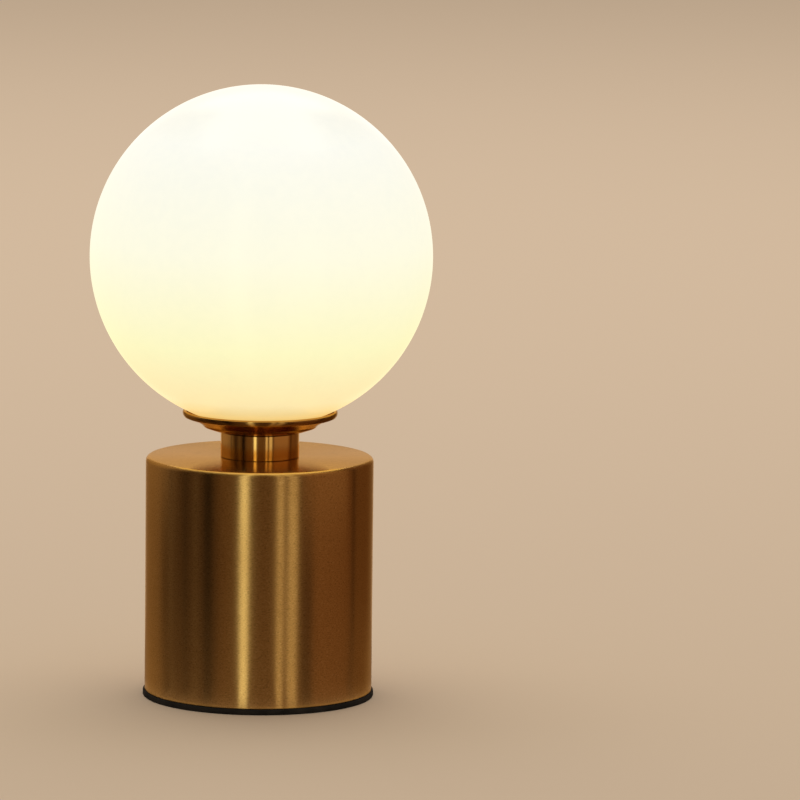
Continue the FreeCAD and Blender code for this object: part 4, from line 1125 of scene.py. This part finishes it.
@dataclass
class Dish:
    """Spun dish with pan, knuckle, cone and rolled lip, and the soft ring in it."""

    sheet: float = 1.0
    neck_radius: float = 17.25
    pan_radius: float = 24.7
    pan_rise: float = 2.0
    knuckle_w: float = 0.9
    knuckle_h: float = 1.1
    cone_radius: float = 30.0
    step_w: float = 1.9
    lip_drop: float = 2.4
    swell: tuple[float, float] = (0.4, 0.65)  # outward and upward, of the wall's middle from a straight line
    wall_in: float = 0.12  # from the lip to the wall under it
    wall_up: float = 1.5  # height of that place over the step
    roll: float = 0.9  # radius of the rolled lip
    roll_steps: int = 13
    seat_radius: float = 23.45  # inner radius of the seat ring
    steps: int = 160
    seat_steps: int = 128

    def shell(self) -> Piece:
        """Turn the dish.

        Returns:
            The dish.
        """
        low, high = box_mm("globe_dish")
        lip = high.x
        top = high.z - low.z
        roll_z = top - self.roll
        step = roll_z - self.lip_drop
        step_radius = self.cone_radius + self.step_w
        wall = lip - 2 * self.roll
        hole = box_mm("holder_body")[1].x + 0.1
        t = self.sheet
        corners = [
            Corner(hole, 0.0),
            Corner(self.neck_radius, 0.0, 0.3),
            Corner((self.neck_radius + self.pan_radius) / 2, 0.35 * self.pan_rise),
            Corner(self.pan_radius, self.pan_rise, 0.25),
            Corner(self.pan_radius + self.knuckle_w, self.pan_rise + self.knuckle_h, 0.3),
            Corner(self.cone_radius, step, 0.3),
            Corner(step_radius, step, 0.4),
            Corner((step_radius + lip) / 2 + self.swell[0], step + self.swell[1]),
            Corner(lip - self.wall_in, step + self.wall_up),
            *arc((lip - self.roll, roll_z), self.roll, 0.0, 180.0, self.roll_steps),
            Corner(wall, step + t, 0.35),
            Corner(self.cone_radius - t / 2, step + t, 0.3),
            Corner(self.pan_radius + self.knuckle_w - t / 2, self.pan_rise + self.knuckle_h + t),
            Corner(self.pan_radius - t / 2, self.pan_rise + t),
            Corner(self.neck_radius + 0.35, t),
            Corner(hole, t),
        ]
        return Bench.turn("globe_dish_spun", corners, self.steps, (0.0, 0.0, low.z * MM))

    def seat(self) -> Piece:
        """Turn the soft ring that lies over the knuckle under the globe.

        Returns:
            The seat ring.
        """
        low, high = box_mm("globe_seat_ring")
        dish_low, dish_high = box_mm("globe_dish")
        half = self.sheet / 2
        pan = dish_low.z + self.pan_rise + self.sheet - low.z
        knuckle = Corner(self.pan_radius + self.knuckle_w - half, pan + self.knuckle_h)
        step = dish_high.z - self.roll - self.lip_drop + self.sheet - low.z
        slope = (step - knuckle.height) / (self.cone_radius - half - knuckle.radius)
        corners = [
            Corner(self.seat_radius, 0.0, 0.15),
            Corner(self.pan_radius - half, pan),
            knuckle,
            Corner(high.x, knuckle.height + (high.x - knuckle.radius) * slope, 0.15),
            Corner(high.x, high.z - low.z, 0.3),
            Corner(self.seat_radius, high.z - low.z, 0.3),
        ]
        return Bench.turn("globe_seat_soft", corners, self.seat_steps, (0.0, 0.0, low.z * MM))

    def build(self) -> None:
        """Build and dress the dish and its seat ring."""
        fit(self.shell(), Body.BASE, "globe_dish", DISH_BRASS)
        fit(self.seat(), Body.BASE, "globe_seat_ring", CLEAR_SILICONE)
        refinish(SPRING_STEEL, "globe_clip")


@dataclass
class Globe:
    """Blown opal ball with its collar."""

    wall: float = 3.0
    collar_radius: float = 26.5
    rim: float = 0.6  # rounding of the collar's edges
    segments: int = 160
    rings: int = 120
    smooth: float = 50.0  # edges sharper than this stay sharp, degrees

    def ball(self) -> Piece:
        """Model the ball: a sphere is cut off at its mouth, drawn down to a collar and given its wall.

        Returns:
            The globe.
        """
        low, high = box_mm("globe")
        radius = high.x
        centre = high.z - radius
        mouth = centre - math.sqrt(radius**2 - self.collar_radius**2)
        Bench.clear()
        bpy.ops.mesh.primitive_uv_sphere_add(
            segments=self.segments, ring_count=self.rings, radius=radius * MM, location=(0, 0, centre * MM)
        )
        bpy.ops.object.transform_apply(location=True)
        Bench.edit()
        bpy.ops.mesh.select_all(action="SELECT")
        bpy.ops.mesh.bisect(plane_co=(0, 0, mouth * MM), plane_no=(0, 0, 1), clear_inner=True)
        Bench.select(lambda place: place.z < mouth * MM + WELD)
        bpy.ops.mesh.extrude_region_move(TRANSFORM_OT_translate={"value": (0, 0, (low.z - mouth) * MM)})
        Bench.weld()
        Bench.rest()
        Bench.apply("SOLIDIFY", thickness=self.wall * MM, offset=-1.0, use_even_offset=True)
        Bench.edit()
        Bench.select(lambda place: place.z < low.z * MM + WELD)
        bpy.ops.mesh.bevel(offset=self.rim * MM, segments=4, profile=0.5, affect="EDGES")
        return Bench.close("globe_opal", self.smooth)

    def build(self) -> None:
        """Build and dress the globe."""
        high = box_mm("globe")[1]
        radius = high.x
        glass = OpalGlow("opal_glass", high.z - radius, radius, OPAL_GLASS_STOPS, (0.10, 0.095, 0.08), 0.3)
        fit(self.ball(), Body.GLOBE, "globe", glass)


@dataclass
class Lampholder:
    """Moulded lampholder with its shade ring, screw shell, contacts and screws."""

    grips: int = 16
    grip_depth: float = 0.5
    grip_reach: float = 0.14  # half a grip's share of the pitch between grips
    ring_wall: float = 2.4
    ring_band: float = 1.0  # height of the plain band under the grips
    grip_steps: int = 8  # steps of the ring from one grip to the next

    def ring(self) -> Piece:
        """Turn the shade ring, then press its finger grips inwards.

        Returns:
            The shade ring.
        """
        low, high = box_mm("shade_ring")
        outer = high.x
        bore = outer - self.ring_wall
        height = high.z - low.z
        corners = [
            Corner(bore, 0.0, 0.2),
            Corner(outer, 0.0, 0.3),
            Corner(outer, self.ring_band),
            Corner(outer, height, 0.5),
            Corner(bore, height, 0.3),
        ]
        ring = Bench.turn("shade_ring_moulded", corners, self.grips * self.grip_steps, (0.0, 0.0, low.z * MM))
        Bench.edit()
        share = (outer - self.grip_depth) / outer
        floor = (low.z + self.ring_band + 0.2) * MM

        def in_grip(place: Vector) -> bool:
            """Tell whether an outer vertex lies in one of the grips.

            Args:
                place: The vertex's place.

            Returns:
                True in a grip.
            """
            turn = math.atan2(place.y, place.x) / (2 * math.pi) * self.grips
            near = abs(turn - round(turn)) < self.grip_reach
            return near and place.to_2d().length > (outer - 0.6) * MM and place.z > floor

        Bench.select(in_grip)
        bpy.ops.transform.resize(value=(share, share, 1.0), center_override=(0, 0, 0))
        return Bench.close("shade_ring_moulded")

    def build(self) -> None:
        """Build and dress the lampholder."""
        fit(self.ring(), Body.BASE, "shade_ring", BLACK_MOULDING)
        refinish(BLACK_MOULDING, "holder_cap", "holder_body")
        refinish(CONTACT_BRASS, "centre_contact", "shell_contact")


@dataclass
class Bulb:
    """Candle-shaped lamp bulb with its cap, housing, boards and light sources."""

    joint_radius: float = 16.6
    widest: float = 17.5
    waist_up: float = 9.8  # from the joint to the widest point
    tip_up: float = 51.5  # from the joint to the start of the rounded tip
    tip_radius: float = 3.2
    wall: float = 1.2
    housing_wall: float = 1.6
    housing_bore: float = 5.65
    foot_out: float = 0.4  # from the threaded cap to the housing's foot
    waist_share: float = 0.3  # of the housing's flare, halfway up
    spigot_in: float = 0.5  # from the threaded cap to the spigot in it
    ledge_w: float = 1.4  # of the ledge that the board lies on
    ledge_down: float = 1.5  # from the joint to the ledge
    steps: int = 96
    side_steps: int = 22
    light_sources: int = 6

    def _side(self, inset: float) -> list[Corner]:
        """Corners up the diffuser's side.

        Args:
            inset: How far the line lies inside the outer one, mm.

        Returns:
            The corners from the joint to the tip, heights from the joint.
        """
        low_in = self.widest - self.joint_radius
        low_r = (low_in**2 + self.waist_up**2) / (2 * low_in)
        rise = self.tip_up - self.waist_up
        up_in = self.widest - self.tip_radius
        up_r = (up_in**2 + rise**2) / (2 * up_in)
        start = -math.degrees(math.asin(self.waist_up / (low_r - inset)))
        end = math.degrees(math.asin(rise / up_r))
        ball = self.tip_radius / math.cos(math.radians(end))
        ball_z = self.tip_up - ball * math.sin(math.radians(end))
        lower = arc((self.widest - low_r, self.waist_up), low_r - inset, start, 0.0, 5)
        upper = arc((self.widest - up_r, self.waist_up), up_r - inset, 0.0, end, self.side_steps)
        tip = arc((0.0, ball_z), ball - inset, end, 90.0, 7)
        return lower + upper[1:] + tip[1:-1] + [Corner(0.0, tip[-1].height)]

    def diffuser(self) -> Piece:
        """Turn the thin candle-shaped diffuser.

        Returns:
            The diffuser.
        """
        low = box_mm("bulb_diffuser")[0]
        outside, inside = self._side(0.0), self._side(self.wall)
        return Bench.turn("bulb_diffuser_frosted", outside + inside[::-1], self.steps, (0.0, 0.0, low.z * MM))

    def housing(self) -> Piece:
        """Turn the flared housing with its spigot and its step for the diffuser.

        Returns:
            The housing.
        """
        low, high = box_mm("bulb_housing")
        shell = box_mm("bulb_screw_shell")[1]
        foot_z = shell.z - low.z
        top = high.z - low.z
        foot = shell.x + self.foot_out
        half = (foot_z + top) / 2
        waist = foot + self.waist_share * (self.joint_radius - foot)
        spigot = shell.x - self.spigot_in
        inner_top = self.joint_radius - self.housing_wall
        outside = self._bow(Corner(foot, foot_z), Corner(waist, half), Corner(self.joint_radius, top), 12)
        corners = [
            Corner(self.housing_bore, 0.0),
            Corner(spigot, 0.0, 0.2),
            Corner(spigot, foot_z),
            *outside[:-1],
            Corner(self.joint_radius, top, 0.15),
            Corner(inner_top, top),
            Corner(inner_top, top - self.ledge_down),
            Corner(inner_top - self.ledge_w, top - self.ledge_down),
            Corner(waist - self.housing_wall, half),
            Corner(self.housing_bore, foot_z + self.housing_wall),
        ]
        return Bench.turn("bulb_housing_moulded", corners, self.steps, (0.0, 0.0, low.z * MM))

    @staticmethod
    def _bow(first: Corner, middle: Corner, last: Corner, count: int) -> list[Corner]:
        """Corners on the circle through three corners.

        Args:
            first: Where the bow starts.
            middle: A corner that it passes.
            last: Where the bow ends.
            count: Number of corners, ends included.

        Returns:
            The corners in order.
        """
        ax, ay = first.radius, first.height
        bx, by = middle.radius, middle.height
        cx, cy = last.radius, last.height
        d = 2 * (ax * (by - cy) + bx * (cy - ay) + cx * (ay - by))
        ux = ((ax**2 + ay**2) * (by - cy) + (bx**2 + by**2) * (cy - ay) + (cx**2 + cy**2) * (ay - by)) / d
        uy = ((ax**2 + ay**2) * (cx - bx) + (bx**2 + by**2) * (ax - cx) + (cx**2 + cy**2) * (bx - ax)) / d
        radius = math.hypot(ax - ux, ay - uy)
        start = math.degrees(math.atan2(ay - uy, ax - ux))
        end = math.degrees(math.atan2(cy - uy, cx - ux))
        if end - start > 180:
            end -= 360
        if start - end > 180:
            start -= 360
        return arc((ux, uy), radius, start, end, count)

    def build(self) -> None:
        """Build and dress the bulb."""
        low, high = box_mm("bulb_diffuser")
        middle = (low.z + high.z) / 2
        stops: tuple[Stop, ...] = (
            (0.0, (0.80, 0.62, 0.34)),
            (0.3, (0.85, 0.74, 0.50)),
            (0.6, (0.86, 0.78, 0.58)),
            (1.0, (0.82, 0.70, 0.46)),
        )
        frosted = OpalGlow("opal_plastic", middle, (high.z - low.z) / 2, stops, (0.20, 0.19, 0.17), 0.45)
        fit(self.diffuser(), Body.BULB, "bulb_diffuser", frosted)
        fit(self.housing(), Body.BULB, "bulb_housing", WHITE_MOULDING)
        refinish(NICKEL_SHELL, "bulb_screw_shell", "holder_screw_shell")
        refinish(TIP_SOLDER, "bulb_tip_contact")
        refinish(BLACK_INSULATOR, "bulb_insulator")
        refinish(BOARD_ALUMINIUM, "bulb_led_board")
        refinish(GREEN_BOARD, "bulb_driver_board")
        refinish(CAPACITOR_SLEEVE, "bulb_driver_capacitor")
        refinish(COIL_FORMER, "bulb_driver_coil")
        refinish(LED_PHOSPHOR, *numbered("bulb_led", self.light_sources))


@dataclass
class Wiring:
    """Terminal block and the three leads inside the can."""

    radius: float = 0.9
    live: tuple[Point, ...] = (
        (-28.0, 11.0, 27.0), (-28.0, -6.0, 27.0), (-24.0, -12.0, 38.0), (-14.0, 1.4, 50.0),
        (0.0, 1.4, 58.0), (0.0, 1.4, 113.0), (6.55, 3.2, 116.0), (6.55, 3.2, 121.0),
    )
    neutral: tuple[Point, ...] = (
        (-20.0, 11.0, 27.0), (-20.0, -6.0, 27.0), (-17.0, -9.0, 33.0), (-10.0, -1.4, 42.0),
        (0.0, -1.4, 50.0), (0.0, -1.4, 113.0), (-6.8, -3.2, 116.0), (-6.8, -3.2, 121.0),
    )
    earth: tuple[Point, ...] = (
        (-12.0, 11.0, 27.0), (-12.0, -6.0, 27.0), (-17.0, -15.0, 47.0), (-18.9, -5.0, 69.0),
        (-13.9, 0.0, 86.0), (-13.9, 0.0, 100.5),
    )

    def lead(self, name: str, route: Sequence[Point]) -> Piece:
        """Draw one lead as a smooth curve with a round section.

        Args:
            name: The lead's name.
            route: Its control points, mm.

        Returns:
            The lead.
        """
        curve = bpy.data.curves.new(name, "CURVE")
        curve.dimensions = "3D"
        curve.resolution_u = 10
        curve.bevel_depth = self.radius * MM
        curve.bevel_resolution = 4
        curve.use_fill_caps = True
        spline = curve.splines.new("NURBS")
        spline.points.add(len(route) - 1)
        for point, place in zip(spline.points, route):
            point.co = (*(Vector(place) * MM), 1.0)
        spline.order_u = 3
        spline.use_endpoint_u = True
        lead = bpy.data.objects.new(name, curve)
        bpy.context.scene.collection.objects.link(lead)
        return lead

    def build(self) -> None:
        """Build and dress the wiring."""
        leads = (
            ("live", self.live, BROWN_SLEEVE),
            ("neutral", self.neutral, BLUE_SLEEVE),
            ("earth", self.earth, EARTH_SLEEVE),
        )
        for name, route, sleeve in leads:
            fit(self.lead(f"{name}_lead_smooth", route), Body.BASE, f"{name}_lead", sleeve)
        refinish(CREAM_PLASTIC, "terminal_block")


@dataclass
class Fasteners:
    """Plate, tube, nuts, washers, lug and screws that hold the lamp together."""

    plate_screws: int = 3
    terminal_screws: int = 6

    def build(self) -> None:
        """Dress the fasteners."""
        zinc = ["closing_plate", "threaded_tube", "can_washer", "can_lock_nut", "earth_lug"]
        for level in ("lower", "upper"):
            zinc += [f"ballast_washer_{level}", f"ballast_nut_{level}"]
        refinish(ZINC_STEEL, *zinc, *numbered("plate_screw", self.plate_screws))
        screws = ["terminal_block_screw", "live_strap_screw", "neutral_strap_screw"]
        refinish(PLATED_SCREW, *screws, *numbered("terminal_screw", self.terminal_screws))


@dataclass(frozen=True)
class SoftBox:
    """One soft studio light."""

    name: str
    place: Point
    aim: Point
    size: tuple[float, float]
    radiance: float

    def build(self) -> None:
        """Hang the light and turn it to its aim."""
        light = bpy.data.lights.new(self.name, "AREA")
        light.shape = "RECTANGLE"
        light.size, light.size_y = self.size
        light.energy = self.radiance * math.pi * self.size[0] * self.size[1]
        lamp = bpy.data.objects.new(self.name, light)
        lamp.location = self.place
        lamp.rotation_euler = (Vector(self.aim) - Vector(self.place)).to_track_quat("-Z", "Y").to_euler()
        lamp.visible_camera = False
        bpy.context.scene.collection.objects.link(lamp)


@dataclass
class Studio:
    """Pale floor, soft light, the screen that the metal mirrors, and the camera."""

    camera_place: Point = (0.0, -2.76, 0.52534)  # metres, as are all sizes of the studio
    pitch: float = 8.1219  # degrees that the camera looks down
    yaw: float = 1.2711  # degrees to the right
    roll: float = 0.6412  # degrees
    lens: float = 286.18  # mm
    sensor: float = 36.0  # mm
    clip: tuple[float, float] = (0.05, 100.0)
    sky_colour: Colour = (0.98, 0.94, 0.88)
    sky_strength: float = 0.68
    backdrop_colour: Colour = (0.62, 0.47, 0.34)
    floor_size: float = 40.0
    screen_steps: int = 144
    screen_height: float = 0.55
    screen_inner: float = 0.29  # inner radius of the screen's part on the floor, as a share of its own
    screen_lift: float = 0.0008  # height of that part over the floor

    def camera(self) -> None:
        """Set the camera at the photograph's viewing angle."""
        data = bpy.data.cameras.new("studio_camera")
        data.sensor_width = self.sensor
        data.lens = self.lens
        data.clip_start, data.clip_end = self.clip
        camera = bpy.data.objects.new("studio_camera", data)
        bpy.context.scene.collection.objects.link(camera)
        turn = Matrix.Rotation(math.radians(-self.yaw), 4, "Z")
        tilt = Matrix.Rotation(math.radians(90.0 - self.pitch), 4, "X")
        lean = Matrix.Rotation(math.radians(self.roll), 4, "Z")
        camera.matrix_world = Matrix.Translation(self.camera_place) @ turn @ tilt @ lean
        bpy.context.scene.camera = camera

    def floor(self) -> None:
        """Lay the pale floor."""
        Bench.clear()
        bpy.ops.mesh.primitive_plane_add(size=self.floor_size)
        Bench.edit()
        bpy.ops.mesh.subdivide(number_cuts=1)
        Bench.rest()
        floor = bpy.context.object
        floor.name = "studio_floor"
        dress(floor, PALE_FLOOR)

    def screen(self) -> None:
        """Stand the reflection screen round the lamp's front; only reflections show it."""
        reach = math.radians(SCREEN_GLOW.reach)
        Bench.clear()
        radius = SCREEN_GLOW.radius * MM
        bpy.ops.mesh.primitive_circle_add(vertices=self.screen_steps, radius=radius, fill_type="NOTHING")
        Bench.edit()
        Bench.select(lambda place: math.atan2(abs(place.x), -place.y) > reach)
        bpy.ops.mesh.delete(type="VERT")
        bpy.ops.mesh.select_all(action="SELECT")
        bpy.ops.mesh.extrude_region_move(TRANSFORM_OT_translate={"value": (0, 0, self.screen_height)})
        Bench.select(lambda place: place.z < MM)
        bpy.ops.mesh.extrude_region_move()
        inner = self.screen_inner
        bpy.ops.transform.resize(value=(inner, inner, 1.0), center_override=(0, 0, 0))
        bpy.ops.transform.translate(value=(0, 0, self.screen_lift))
        Bench.rest()
        screen = bpy.context.object
        screen.name = "reflection_screen"
        dress(screen, SCREEN_GLOW)
        screen.visible_camera = screen.visible_diffuse = screen.visible_shadow = False

    def sky(self) -> None:
        """Light the world evenly, with the backdrop's own colour where it is seen or mirrored."""
        world = bpy.data.worlds.new("studio_world")
        bpy.context.scene.world = world
        graph = Graph(world)
        path = graph.node("ShaderNodeLightPath")
        seen = Signal(graph, path.outputs["Is Camera Ray"]) + Signal(graph, path.outputs["Is Glossy Ray"])
        seen = (seen + Signal(graph, path.outputs["Is Transmission Ray"])).ramped(0.0, 1.0)
        sky = {"Color": self.sky_colour, "Strength": self.sky_strength}
        backdrop = {"Color": self.backdrop_colour, "Strength": 1.0}
        light = graph.out("ShaderNodeBackground", 0, None, sky)
        shown = graph.out("ShaderNodeBackground", 0, None, backdrop)
        mixed = graph.out("ShaderNodeMixShader", 0, None, {0: seen, 1: light, 2: shown})
        graph.node("ShaderNodeOutputWorld", inputs={"Surface": mixed})

    def build(self) -> None:
        """Set up the studio."""
        self.camera()
        self.floor()
        self.screen()
        self.sky()
        SoftBox("overhead_light", (0.0, 1.6, 2.4), (0.0, 1.0, 0.0), (3.6, 3.2), 1.0).build()
        bpy.context.scene.view_settings.view_transform = "Standard"
        LOG.info("studio: camera, floor, screen, sky and overhead light")


def main() -> None:
    """Build the lamp and its studio."""
    logging.basicConfig(level=logging.INFO, format="%(message)s")
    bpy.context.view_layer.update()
    for assembly in (Foot, BaseCan, Neck, Dish, Globe, Lampholder, Bulb, Wiring, Fasteners, Studio):
        assembly().build()
        LOG.info("%s is done", assembly.__name__)


if __name__ == "__main__":
    main()
